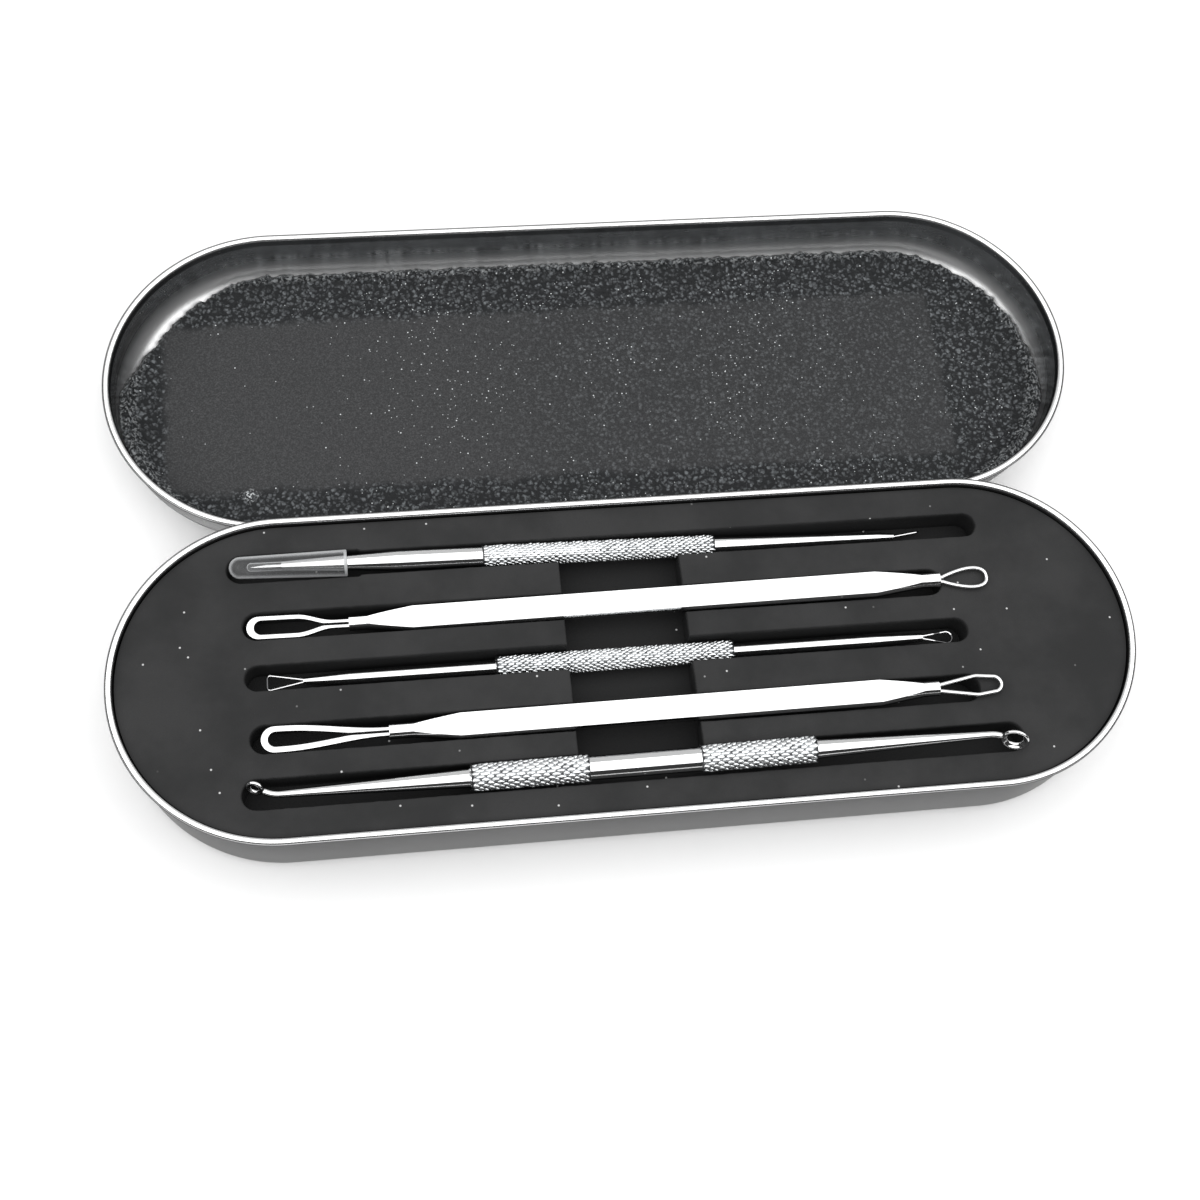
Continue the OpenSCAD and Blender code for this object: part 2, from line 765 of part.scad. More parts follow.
// Cut layer of the tray, with a slot for each tool and the finger trench.
module tray_foam() {
    color(tray_colour)
        translate([0, 0, cut_floor])
            linear_extrude(cut_layer_t)
                difference() {
                    oval(tray_r);
                    lancet_slot();
                    teardrop_slot();
                    fine_slot();
                    long_slot();
                    scoop_slot();
                    trench();
                }
}

// Uncut lower part of the tray, which fills the base below the slots.
module tray_backing() {
    color(tray_colour)
        translate([0, 0, tin_t + foam_gap])
            around()
                round_foot(tray_r, cut_floor - foam_gap - tin_t - foam_gap / 2,
                    base_corner_r - tin_t - foam_gap);
}

// Foam sheet in the lid, which fills the lid's round corner.
module lid_foam() {
    color(sponge_colour)
        opened()
            around()
                intersection() {
                    lid_cavity(foam_gap);
                    translate([0, closed_h - tin_t - foam_gap - lid_foam_t])
                        square([lid_inner_r, lid_foam_t + past]);
                }
}

// Rod of the lancet tool: a back taper for the needle and a thin front end for the loop.
module lancet_rod() {
    half = long_grip_l / 2;
    color(steel_colour)
        place_lancet()
            difference() {
                turned([
                    [-lancet_back_end, lancet_taper_d / 2],
                    [-half - lancet_back_l, lancet_back_d / 2],
                    [0, lancet_back_d / 2],
                    [0, lancet_front_d / 2],
                    [half, lancet_front_d / 2],
                    [half + lancet_front_l, lancet_front_end_d / 2],
                    [lancet_front_end, lancet_nose_d / 2]
                ]);
                translate([-lancet_back_end - past, 0, 0])
                    rotate([0, 90, 0])
                        cylinder(h = needle_in + past, d = needle_d);
                at_right(lancet_front_end)
                    rotate([lancet_loop_turn, 0, lancet_loop_lean])
                        wire_legs(fine_wire_d, fine_legs);
            }
}

// Knurled sleeve on the lancet tool's rod.
module lancet_grip() {
    half = long_grip_l / 2;
    color(knurl_colour)
        place_lancet()
            rotate([0, 90, 0])
                difference() {
                    translate([0, 0, -half])
                        cylinder(h = long_grip_l, d = long_grip_d);
                    translate([0, 0, -half - past])
                        cylinder(h = half + past, d = lancet_back_d);
                    cylinder(h = half + past, d = lancet_front_d);
                }
}

// Pointed needle set into the lancet tool's back taper.
module lancet_needle() {
    color(steel_colour)
        place_lancet()
            turned([
                [-needle_tip, 0.02],
                [-needle_tip + needle_point, needle_d / 2],
                [-lancet_back_end + needle_in, needle_d / 2]
            ]);
}

// Fine wire loop at the lancet tool's front end, turned nearly on edge.
module lancet_loop() {
    color(steel_colour)
        place_lancet()
            at_right(lancet_front_end)
                rotate([lancet_loop_turn, 0, lancet_loop_lean])
                    teardrop_wire(lancet_loop_l, lancet_loop_w, fine_wire_d, fine_legs, fine_bend_r);
}

// Clear soft cap pushed over the needle, gripping the rod's taper.
module lancet_cap() {
    round_r = cap_end_d / 2;
    pocket_r = back_taper_r(0) + cap_clear;
    mouth_bore_r = back_taper_r(lancet_back_end - cap_mouth) + cap_clear;
    color(cap_colour)
        place_lancet()
            rotate([0, 90, 0])
                rotate_extrude()
                    difference() {
                        union() {
                            polygon([[0, -cap_end + round_r], [round_r, -cap_end + round_r],
                                [cap_mouth_d / 2, -cap_mouth], [0, -cap_mouth]]);
                            intersection() {
                                translate([0, -cap_end + round_r])
                                    circle(round_r);
                                translate([0, -cap_end - past])
                                    square([round_r, round_r + past]);
                            }
                        }
                        polygon([[0, -cap_end + cap_end_t], [pocket_r, -cap_end + cap_end_t],
                            [pocket_r, -lancet_back_end], [mouth_bore_r, -cap_mouth],
                            [mouth_bore_r, -cap_mouth + past], [0, -cap_mouth + past]]);
                    }
}

// A turned bar with two flats and a round neck at each end.
module flat_bar(bar_l, back_taper, back_neck, front_taper, front_neck, neck_d) {
    half = bar_l / 2;
    intersection() {
        turned([
            [-half - back_taper - back_neck, neck_d / 2],
            [-half - back_taper, neck_d / 2],
            [-half, bar_r],
            [half, bar_r],
            [half + front_taper, neck_d / 2],
            [half + front_taper + front_neck, neck_d / 2]
        ]);
        cube([through, through, flat_t], center = true);
    }
}

// Width of a ribbon loop where it leaves a neck.
function ribbon_root(neck_d) = neck_d * 0.6;

// Flat bar of the teardrop tool.
module teardrop_bar() {
    color(steel_colour)
        place_teardrop()
            difference() {
                flat_bar(teardrop_bar_l, teardrop_back_taper, teardrop_back_neck, teardrop_front_taper,
                    teardrop_front_neck, teardrop_neck_d);
                at_left(teardrop_back_end)
                    ribbon_tail(ribbon_root(teardrop_neck_d));
                at_right(teardrop_front_end)
                    wire_legs(loop_wire_d, teardrop_legs);
            }
}

// Short ribbon loop at the teardrop tool's left end.
module teardrop_ribbon_loop() {
    color(steel_colour)
        place_teardrop()
            at_left(teardrop_back_end)
                ribbon(short_ribbon_l, short_ribbon_w, ribbon_root(teardrop_neck_d), short_ribbon_neck,
                    short_ribbon_flare, short_ribbon_side, short_ribbon_end, short_ribbon_bend);
}

// Teardrop wire loop at the teardrop tool's right end.
module teardrop_wire_loop() {
    color(steel_colour)
        place_teardrop()
            at_right(teardrop_front_end)
                teardrop_wire(teardrop_loop_l, teardrop_loop_w, loop_wire_d, teardrop_legs, loop_bend_r);
}

// Thin rod of the fine-loop tool.
module fine_rod() {
    straight = long_grip_l / 2 + fine_straight_l;
    color(steel_colour)
        place_fine()
            difference() {
                turned([
                    [-fine_back_end, fine_back_tip_d / 2],
                    [-straight, fine_rod_d / 2],
                    [straight, fine_rod_d / 2],
                    [fine_front_end, fine_front_tip_d / 2]
                ]);
                at_left(fine_back_end)
                    wire_legs(fine_wire_d, fine_legs);
                at_right(fine_front_end)
                    rotate([0, 0, -fine_loop_lean])
                        wire_legs(fine_wire_d, fine_legs);
            }
}

// Knurled sleeve on the fine-loop tool's rod.
module fine_grip() {
    color(knurl_colour)
        place_fine()
            rotate([0, 90, 0])
                difference() {
                    cylinder(h = long_grip_l, d = long_grip_d, center = true);
                    cylinder(h = long_grip_l + 2 * past, d = fine_rod_d, center = true);
                }
}

// Triangle wire loop at the fine-loop tool's left end.
module fine_triangle_loop() {
    color(steel_colour)
        place_fine()
            at_left(fine_back_end)
                triangle_wire(triangle_l, triangle_w, fine_wire_d, fine_legs, fine_bend_r,
                    triangle_corner_r);
}

// Round wire loop at the fine-loop tool's right end.
module fine_round_loop() {
    color(steel_colour)
        place_fine()
            at_right(fine_front_end)
                rotate([0, 0, -fine_loop_lean])
                    teardrop_wire(fine_loop_l, fine_loop_w, fine_wire_d, fine_legs, fine_bend_r);
}

// Flat bar of the long-loop tool.
module long_bar() {
    color(steel_colour)
        place_long()
            difference() {
                flat_bar(long_bar_l, long_back_taper, long_back_neck, long_front_taper, long_front_neck,
                    long_neck_d);
                at_left(long_back_end)
                    ribbon_tail(ribbon_root(long_neck_d));
                at_right(long_front_end)
                    wire_legs(loop_wire_d, long_legs);
            }
}

// Long ribbon loop at the long-loop tool's left end.
module long_ribbon_loop() {
    color(steel_colour)
        place_long()
            at_left(long_back_end)
                ribbon(long_ribbon_l, long_ribbon_w, ribbon_root(long_neck_d), 0, long_ribbon_flare,
                    long_ribbon_side, long_ribbon_end, long_ribbon_bend);
}

// Cornered wire loop at the long-loop tool's right end.
module long_wire_loop() {
    color(steel_colour)
        place_long()
            at_right(long_front_end)
                cornered_wire(long_loop_l, long_loop_w, long_loop_corner, long_loop_end_w, loop_wire_d,
                    long_legs, loop_bend_r, long_loop_corner_r);
}

// Round neck that bends off the end of the scoop's rod, with a dished eye turned about its own length.
module bent_eye(roll, bend, turn, outer_d, hole_d) {
    joint_r = scoop_neck_d / 2 + wire_swell;
    rotate([roll, 0, 0]) {
        sphere(joint_r);
        rotate([90, 0, 0])
            wire_arc([0, neck_bend_r], neck_bend_r, -90, bend, scoop_neck_d);
        translate([neck_bend_r * sin(bend), 0, neck_bend_r * (1 - cos(bend))])
            rotate([0, -bend, 0]) {
                sphere(joint_r);
                rotate([turn, 0, 0])
                    eye(outer_d, hole_d);
            }
    }
}

// Rod of the scoop tool, with a small dished eye at its left end and a large one at its right.
module scoop_rod() {
    inner = scoop_middle_l / 2;
    outer = inner + scoop_grip_l;
    neck_r = scoop_neck_d / 2;
    color(steel_colour)
        place_scoop() {
            turned([
                [-scoop_back_end, neck_r],
                [-outer, scoop_taper_d / 2],
                [-inner - scoop_grip_l / 2, scoop_taper_d / 2],
                [-inner - scoop_grip_l / 2, scoop_rod_d / 2],
                [inner + scoop_grip_l / 2, scoop_rod_d / 2],
                [inner + scoop_grip_l / 2, scoop_taper_d / 2],
                [outer, scoop_taper_d / 2],
                [scoop_front_end, neck_r]
            ]);
            at_left(scoop_back_end)
                bent_eye(-small_bend_roll, small_eye_bend, small_eye_turn, small_eye_d, small_hole_d);
            at_right(scoop_front_end)
                bent_eye(large_bend_roll, large_eye_bend, -large_eye_turn, large_eye_d, large_hole_d);
        }
}

// A knurled sleeve over the step in the scoop tool's rod, for one side of the tool.
module scoop_grip(side) {
    inner = scoop_middle_l / 2;
    outer = inner + scoop_grip_l;
    color(knurl_colour)
        place_scoop()
            mirror([side < 0 ? 1 : 0, 0, 0])
                rotate([0, 90, 0])
                    difference() {
                        translate([0, 0, inner])
                            cylinder(h = scoop_grip_l, d = scoop_grip_d);
                        translate([0, 0, inner - past])
                            cylinder(h = scoop_grip_l / 2 + past, d = scoop_rod_d);
                        translate([0, 0, inner])
                            cylinder(h = scoop_grip_l + past, d = scoop_taper_d);
                    }
}

module scoop_left_grip() {
    scoop_grip(-1);
}

module scoop_right_grip() {
    scoop_grip(1);
}

base_tin();
lid_tin();
tray_foam();
tray_backing();
lid_foam();
lancet_rod();
lancet_grip();
lancet_needle();
lancet_loop();
lancet_cap();
teardrop_bar();
teardrop_ribbon_loop();
teardrop_wire_loop();
fine_rod();
fine_grip();
fine_triangle_loop();
fine_round_loop();
long_bar();
long_ribbon_loop();
long_wire_loop();
scoop_rod();
scoop_left_grip();
scoop_right_grip();
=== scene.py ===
"""The looks of the tin of blackhead extractors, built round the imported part."""

from math import asin, atan2, ceil, cos, degrees, hypot, pi, radians, sin, sqrt, tan

import bmesh
import bpy
import numpy as np
from mathutils import Matrix, Vector, noise
from mathutils.geometry import delaunay_2d_cdt


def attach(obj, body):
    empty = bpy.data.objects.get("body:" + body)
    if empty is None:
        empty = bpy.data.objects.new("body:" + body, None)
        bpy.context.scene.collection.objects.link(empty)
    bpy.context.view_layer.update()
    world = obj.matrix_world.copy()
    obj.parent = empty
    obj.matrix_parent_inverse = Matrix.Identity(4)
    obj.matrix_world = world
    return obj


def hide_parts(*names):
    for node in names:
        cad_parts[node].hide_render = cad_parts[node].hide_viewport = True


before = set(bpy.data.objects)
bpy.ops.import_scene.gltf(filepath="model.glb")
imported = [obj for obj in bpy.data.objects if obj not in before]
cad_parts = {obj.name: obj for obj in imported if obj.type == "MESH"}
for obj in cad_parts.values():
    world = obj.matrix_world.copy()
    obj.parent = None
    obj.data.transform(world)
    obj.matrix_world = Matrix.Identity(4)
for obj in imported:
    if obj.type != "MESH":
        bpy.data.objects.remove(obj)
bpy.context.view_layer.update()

MM = 0.001
SEED = 7

# The camera, fitted to the photo's two oval rims. Lengths in mm, angles in degrees.
PHOTO_SIZE = 1200
FOCAL_PIXELS = 1666.6
SENSOR_W = 36.0
CAMERA_PLACE = (-36.9, -93.0, 271.3)
CAMERA_YAW, CAMERA_PITCH, CAMERA_ROLL = 17.30, 67.18, 12.23

# The tin in mm, with the same sizes as the part.
SIDE_HALF = 57.4
BASE_IN = 26.55
BASE_H = 17.0
TIN_T = 0.3
BEAD_R = 0.65
BASE_CORNER = 1.5
LID_IN = BASE_IN + 2 * BEAD_R + 0.4
CLOSED_H = 22.0
LID_CORNER = 6.0
HINGE_X = 37.0
HINGE_Y = LID_IN + BEAD_R
HINGE_Z = CLOSED_H / 2
TONGUE_W = 7.6
CURL_CLEAR = 0.08
CURL_ANGLE = 150.0
WINDOW_H = 4.3
LID_SLOT_H = 3.0
LID_SLOT_ROOM = 0.5
# Where the base's bead ends and the lid begins, and the undersides of the two beads.
LID_FROM_Y = 28.3
BASE_BEAD_LOW = BASE_H - 2 * BEAD_R
LID_BEAD_LOW = 9.8
# A bead's rolled edge, tucked against the wall: out of the wall in mm, and along it in bead radii.
TUCK = ((0.0, 0.86), (0.05, 0.6), (0.14, 0.8))

TRAY_TOP = BASE_H - 1.3
CUT_DEPTH = 5.2
CUT_FLOOR = TRAY_TOP - CUT_DEPTH
FOAM_GAP = 0.12
TRAY_R = BASE_IN - FOAM_GAP
LID_FOAM_T = 1.4
SLOT_CLEAR = 0.2
TRENCH_MIDDLE, TRENCH_W = -0.95, 20.4

# What the tools have in common.
LEG_IN = 1.6
GRIP_D, GRIP_L = 3.9, 39.6
BAR_W, BAR_T, BAR_NECK_D = 3.8, 2.2, 2.5
BAR_R = hypot(BAR_W / 2, BAR_T / 2)
FINE_WIRE, FINE_LEGS, FINE_BEND = 0.38, 0.44, 0.5
LOOP_WIRE, LOOP_BEND = 0.7, 1.2
RIBBON_T, RIBBON_ROOT, RIBBON_EDGE = 0.7, 1.5, 0.16

# Each tool's middle, and how far its right end is raised, in degrees.
LANCET = {"body": "lancet_tool", "place": (-4.0, 19.25, 14.2), "tilt": -2.1}
TEARDROP = {"body": "teardrop_tool", "place": (3.0, 9.05, 15.25), "tilt": 1.15}
FINE = {"body": "fine_tool", "place": (-3.15, 0.1, 12.9), "tilt": 0.0}
LONG = {"body": "long_tool", "place": (5.0, -10.25, 15.65), "tilt": 0.9}
SCOOP = {"body": "scoop_tool", "place": (-0.7, -19.2, 16.3), "tilt": 1.25}

# The tray's slots, front to back: their tool, width, left end and right end.
BAR_SLOT_W, ROD_SLOT_W = 2 * BAR_R + 2 * SLOT_CLEAR, 4.3
SLOTS = (
    (SCOOP, 5.0, -64.4, 62.6),
    (LONG, BAR_SLOT_W, -62.9, 56.8),
    (FINE, ROD_SLOT_W, -63.45, 56.65),
    (TEARDROP, BAR_SLOT_W, -63.6, 53.7),
    (LANCET, ROD_SLOT_W, -65.9, 61.6),
)
# The lancet's slot is wider round its cap, up to here.
CAP_SLOT_W, CAP_SLOT_X = 4.9, -43.95

# The slots' walls, ring by ring: out of the slot, below the tray's top, and how ragged.
SLOT_WALL = ((0.26, 0, 0.02), (0.12, 0.05, 0.05), (0.03, 0.16, 0.07), (-0.02, 0.4, 0.08),
             (0.0, 1.6, 0.08), (0.0, 3.2, 0.08), (0.0, CUT_DEPTH, 0.04))

# How far up the lid's round corner its sheet's edge runs, in degrees, by the outward way of the edge.
EDGE_WAYS = (-90, -20, 0, 25, 50, 90, 108, 125, 150, 163, 175, 200, 270)
EDGE_CLIMB = (70, 68, 54, 45, 42, 48, 44, 36, 34, 46, 70, 74, 70)
EDGE_CLIMB_MOST = 74.0


class Value:
    """A socket of a node tree, with the arithmetic of numbers."""

    def __init__(self, maker, socket):
        self.maker, self.socket = maker, socket

    def __add__(self, other):
        return self.maker.maths("ADD", self, other)

    def __sub__(self, other):
        return self.maker.maths("SUBTRACT", self, other)

    def __rsub__(self, other):
        return self.maker.maths("SUBTRACT", other, self)

    def __mul__(self, other):
        return self.maker.maths("MULTIPLY", self, other)

    def __truediv__(self, other):
        return self.maker.maths("DIVIDE", self, other)

    def __rtruediv__(self, other):
        return self.maker.maths("DIVIDE", other, self)

    def __mod__(self, other):
        return self.maker.maths("MODULO", self, other)

    __radd__, __rmul__ = __add__, __mul__

    def above(self, other):
        return self.maker.maths("GREATER_THAN", self, other)

    def most(self, other):
        return self.maker.maths("MAXIMUM", self, other)

    def least(self, other):
        return self.maker.maths("MINIMUM", self, other)

    def size(self):
        return self.maker.maths("ABSOLUTE", self)

    def ramp(self, low, high):
        """0 at low and below, 1 at high and above, smooth between."""
        return self.maker.node("ShaderNodeMapRange", {"Value": self, "From Min": low, "From Max": high},
                               interpolation_type="SMOOTHSTEP")


class Maker:
    """Makes the nodes of one node tree."""

    def __init__(self, tree):
        self.tree = tree

    def node(self, kind, inputs, output=0, **settings):
        """Adds a node with its settings and inputs, and gives one of its outputs."""
        made = self.tree.nodes.new(kind)
        for name, setting in settings.items():
            setattr(made, name, setting)
        for name, given in inputs.items():
            self.feed(made.inputs[name], given)
        return Value(self, made.outputs[output])

    def feed(self, socket, given):
        """Links a value to an input, or sets the input to a number, a vector or a colour."""
        if isinstance(given, Value):
            self.tree.links.new(given.socket, socket)
        else:
            socket.default_value = (*given, 1.0) if socket.type == "RGBA" else given

    def maths(self, kind, *given):
        return self.node("ShaderNodeMath", dict(enumerate(given)), operation=kind)


class Shader(Maker):
    """A node material, built up from Python expressions. Its lengths are in mm."""

    def __init__(self, name):
        self.material = bpy.data.materials.new(name)
        self.material.use_nodes = True
        super().__init__(self.material.node_tree)
        self.tree.nodes.clear()
        self.place = self.stretch(self.node("ShaderNodeTexCoord", {}, "Object"), (1 / MM,) * 3)

    def vectors(self, kind, *given):
        return self.node("ShaderNodeVectorMath", dict(enumerate(given)), operation=kind)

    def stretch(self, vector, factors):
        return self.vectors("MULTIPLY", vector, factors)

    def part(self, axis, vector=None):
        return self.node("ShaderNodeSeparateXYZ", {"Vector": vector or self.place}, axis)

    def noise(self, scale, detail=2.0, roughness=0.5, place=None, output="Fac"):
        inputs = {"Vector": place or self.place, "Scale": scale, "Detail": detail, "Roughness": roughness}
        return self.node("ShaderNodeTexNoise", inputs, output)

    def shaken(self, scale, amount):
        """The place, shifted a little at random in all three directions."""
        away = self.vectors("ADD", self.noise(scale, output="Color"), (-0.5,) * 3)
        return self.vectors("ADD", self.place, self.stretch(away, (amount,) * 3))

    def cells(self, scale, output="Distance", place=None, flat=False):
        return self.node("ShaderNodeTexVoronoi", {"Vector": place or self.place, "Scale": scale}, output,
                         voronoi_dimensions="2D" if flat else "3D")

    def mix(self, amount, first, second):
        # A mix node's colours are its inputs 6 and 7, and its output 2.
        return self.node("ShaderNodeMix", {"Factor": amount, 6: first, 7: second}, 2, data_type="RGBA")

    def facing(self):
        """0 where a surface faces the eye, 1 at its outline."""
        return self.node("ShaderNodeLayerWeight", {"Blend": 0.5}, "Facing")

    def bump(self, height, distance, strength):
        inputs = {"Height": height, "Distance": distance * MM, "Strength": strength}
        return self.node("ShaderNodeBump", inputs)

    def surface(self, colour, roughness, **others):
        inputs = {"Base Color": colour, "Roughness": roughness}
        inputs.update({name.replace("_", " "): given for name, given in others.items()})
        out = self.tree.nodes.new("ShaderNodeOutputMaterial")
        self.feed(out.inputs["Surface"], self.node("ShaderNodeBsdfPrincipled", inputs))
        return self.material


def tinplate():
    """Satin tinplate with faint rolling lines. Its beads have a painted dark outline, painted shade that
    deepens as they turn from the eye.

    The base's outer wall is duller, and darker by a painted reflection that deepens towards its top, with
    painted shade, nearly black, along its top and foot. The lid's round corner is duller too.
    """
    s = Shader("tinplate")
    lines = s.noise(1.0, 3.0, 0.6, s.stretch(s.place, (0.25, 7.0, 7.0)))
    cloud = s.noise(0.06, 3.0)
    scratch = s.noise(1.0, 2.0, 0.5, s.stretch(s.place, (0.12, 1.6, 1.6))).ramp(0.66, 0.72)
    height = s.part("Z")
    in_lid = s.part("Y").above(LID_FROM_Y)
    wall = (1.0 - height.ramp(BASE_BEAD_LOW, BASE_BEAD_LOW + 0.2)) * (1.0 - in_lid)
    corner = (1.0 - height.ramp(3.5, 6.5)) * in_lid
    rough = 0.17 + 0.04 * in_lid + 0.03 * lines + 0.04 * cloud + 0.04 * scratch + 0.1 * corner + 0.1 * wall
    bright = s.mix(0.4 * cloud + 0.15 * lines, (0.84, 0.84, 0.84), (0.74, 0.745, 0.75))
    # Painted shade: nearly black lines just under the base's bead and along the wall's foot.
    edges = height.above(14.4).most(1.0 - height.above(0.7))
    # Painted reflection: the base's outer wall is grey, darker towards its top.
    painted_wall_reflection = s.mix(height.ramp(0.5, 14.5), (0.66, 0.66, 0.66), (0.50, 0.50, 0.505))
    bead = height.above(BASE_BEAD_LOW).most(in_lid * height.above(LID_BEAD_LOW))
    # Painted shade: each bead darkens to nearly black towards its outline, as its surface turns from the eye.
    bead_painted_outline = s.mix(0.8 * (s.facing().ramp(0.18, 0.5) * bead), bright, (0.05, 0.05, 0.052))
    colour = s.mix(wall, bead_painted_outline, s.mix(0.85 * edges, painted_wall_reflection, (0.02, 0.02, 0.02)))
    return s.surface(colour, rough, Metallic=1.0, Specular_Tint=(0.25, 0.25, 0.25),
                     Normal=s.bump(lines, 0.004, 0.2))


def polished_steel():
    """Polished stainless steel with the finest of turning lines and a little handling haze."""
    s = Shader("polished_steel")
    rings = s.noise(1.0, 2.0, 0.5, s.stretch(s.place, (6.0, 0.5, 0.5)))
    haze = s.noise(0.3, 3.0)
    colour = s.mix(haze, (0.80, 0.80, 0.80), (0.73, 0.735, 0.74))
    return s.surface(colour, 0.06 + 0.04 * haze + 0.02 * rings, Metallic=1.0,
                     Specular_Tint=(0.35, 0.35, 0.36), Normal=s.bump(rings, 0.002, 0.15))


def loop_steel():
    """Steel of the fine tool's loops, with painted shade: the stretches that mirror only the dark slot are
    painted nearly black.
    """
    s = Shader("loop_steel")
    haze = s.noise(0.6, 3.0)
    x, y = s.part("X"), s.part("Y")
    triangle_bar, round_loop, middle_y = -59.8, 49.35, FINE["place"][1]
    left = 1.0 - (x + 0.15 * haze).above(triangle_bar)
    tip = x.above(round_loop + 3.2) * y.above(middle_y + 0.1)
    right = x.ramp(round_loop + 1.9, round_loop + 2.3) * (1.0 - tip)
    # Painted shade: the triangle's far bar and the round loop's far stretch, but for its tip, are nearly
    # black.
    colour = s.mix(0.92 * left.most(right), (0.78, 0.78, 0.785), (0.03, 0.03, 0.032))
    return s.surface(colour, 0.08 + 0.05 * haze, Metallic=1.0, Normal=s.bump(haze, 0.01, 0.1))


def knurl_steel(name, scale, first, second, rough, more_rough, bump):
    """Steel with a fine grain: bright for the knurl's pads, and dull and dark for the bottom of its grooves,
    where the dark is painted shade.
    """
    s = Shader(name)
    grain = s.noise(scale, 3.0)
    return s.surface(s.mix(grain, first, second), rough + more_rough * grain, Metallic=1.0,
                     Normal=s.bump(grain, *bump))


def tray_foam():
    """Smooth dark closed-cell foam with fine pores and white specks of dust. It is darker in its slots, by
    painted shade.
    """
    s = Shader("tray_foam")
    cloud = s.noise(0.07, 4.0, 0.6).ramp(0.3, 0.7)
    grain = s.noise(4.0, 3.0, 0.7)
    picked = s.noise(5.0, 0.0, 0.5, s.cells(0.2, "Position", flat=True)).ramp(0.59, 0.66)
    dust = (1.0 - s.cells(0.2, flat=True).ramp(0.018, 0.045)) * picked
    height = s.part("Z")
    top = height.ramp(TRAY_TOP - 1.2, TRAY_TOP - 0.3)
    level = height.above(TRAY_TOP - 0.15).most(1.0 - height.above(CUT_FLOOR + 0.3))
    # Painted shade: from a little below the tray's top down to the slots' floor, the foam is much darker.
    low = s.mix(grain, (0.010, 0.0102, 0.0105), (0.016, 0.0162, 0.0165))
    dark = s.mix(cloud, (0.0195, 0.0198, 0.0202), (0.033, 0.033, 0.0335))
    speckled = s.mix(0.5 * grain, dark, (0.018, 0.0182, 0.0185))
    colour = s.mix(dust * level, s.mix(top, low, speckled), (0.5, 0.5, 0.5))
    return s.surface(colour, 0.78, Specular_IOR_Level=0.2,
                     Normal=s.bump(grain + 0.6 * s.cells(3.2), 0.06, 0.5))


def lid_sponge():
    """Sponge with white specks: smooth in its middle zone, pebbled round it, bristling at its rim."""
    s = Shader("lid_sponge")
    x, y = s.part("X"), s.part("Y") - 2 * HINGE_Y
    wander = 3.0 * (s.noise(0.25, 3.0) - 0.5)
    past_zone = (-77.5 - x).most(x - 66.0).most(y - 16.5).most(-17.5 - y)
    coarse = (past_zone + wander).ramp(-1.2, 1.2)
    warped = s.shaken(0.9, 1.3)
    cell, random = s.cells(1.3, place=warped), s.part("X", s.cells(1.3, "Color", warped))
    fine = s.noise(3.2, 4.0, 0.7)
    grains = s.noise(1.6, 3.0, 0.6)
    pebble = (1.0 - cell.ramp(0.2, 0.62)) * (0.25 + 0.75 * random) * grains.ramp(0.28, 0.6)
    pebbled = s.mix(pebble, (0.008, 0.009, 0.010), (0.14, 0.15, 0.158))
    speckle = fine.ramp(0.3, 0.75) * grains.ramp(0.2, 0.7)
    smooth = s.mix(speckle, (0.022, 0.0225, 0.0235), (0.058, 0.059, 0.061))
    body = s.mix(coarse.most(0.4 * x.ramp(-35.0, 5.0)), smooth, pebbled)
    crowd = s.noise(0.045, 1.0).ramp(0.36, 0.6) * x.ramp(-55.0, -35.0)
    white = 0.0
    for scale, size, share in ((0.5, 0.06, 0.71), (1.0, 0.08, 0.74)):
        spot = s.cells(scale, "Position", flat=True)
        picked = (s.noise(7.0, 0.0, 0.5, spot) + 0.14 * crowd).ramp(share, share + 0.05)
        white = picked * (1.0 - s.cells(scale, flat=True).ramp(size * 0.6, size * 1.4)) + white
    rim = s.part("Z").ramp(2.3, 3.0) * s.noise(1.8, 3.0).ramp(0.5, 0.62)
    from_tuft = (x + 63.0).size() + (y + 18.3).size() + 3.5 * (fine - 0.5)
    tuft = (1.0 - from_tuft.ramp(0.4, 2.2)) * s.noise(2.2, 3.0).ramp(0.5, 0.62)
    white = white.most(0.3 * rim).most(tuft).least(1.0)
    relief = coarse * (1.0 - cell) + 0.35 * fine
    return s.surface(s.mix(white, body, (0.55, 0.57, 0.58)), 0.66, Specular_IOR_Level=0.25,
                     Normal=s.bump(relief, 0.34, 0.8))


def clear_cap():
    """Clear soft plastic: nearly unseen where it faces the eye, milky at its outline and its mouth's rim."""
    s = Shader("clear_cap")
    haze = s.noise(0.5, 2.0)
    mouth = s.part("X").above(-46.6)
    seen = (0.05 + 0.05 * haze + 0.85 * s.facing().ramp(0.2, 0.8)).most(0.6 * mouth)
    return s.surface((0.56, 0.57, 0.58), 0.1 + 0.1 * haze, Alpha=seen, IOR=1.42,
                     Normal=s.bump(haze, 0.03, 0.2))


# Each of the shapes that follow is an array of points in mm and a list of faces.

def merged(*parts):
    points, faces = [], []
    for part_points, part_faces in parts:
        start = sum(len(p) for p in points)
        points.append(np.asarray(part_points, float))
        faces += [[i + start for i in f] for f in part_faces]
    return np.concatenate(points), faces


def moved(part, matrix):
    points, faces = part
    m = np.array(matrix)
    points = np.asarray(points) @ m[:3, :3].T + m[:3, 3]
    if np.linalg.det(m[:3, :3]) < 0:
        faces = [f[::-1] for f in faces]
    return points, faces


def spin(angle, axis):
    return Matrix.Rotation(radians(angle), 4, axis)


def laid(tool):
    """The place of a tool that lies along X in its slot."""
    return Matrix.Translation(tool["place"]) @ spin(-tool["tilt"], "Y")


def at_left(end):
    return Matrix.Translation((-end, 0, 0)) @ Matrix.Diagonal((-1, 1, 1, 1))


def at_right(end):
    return Matrix.Translation((end, 0, 0))


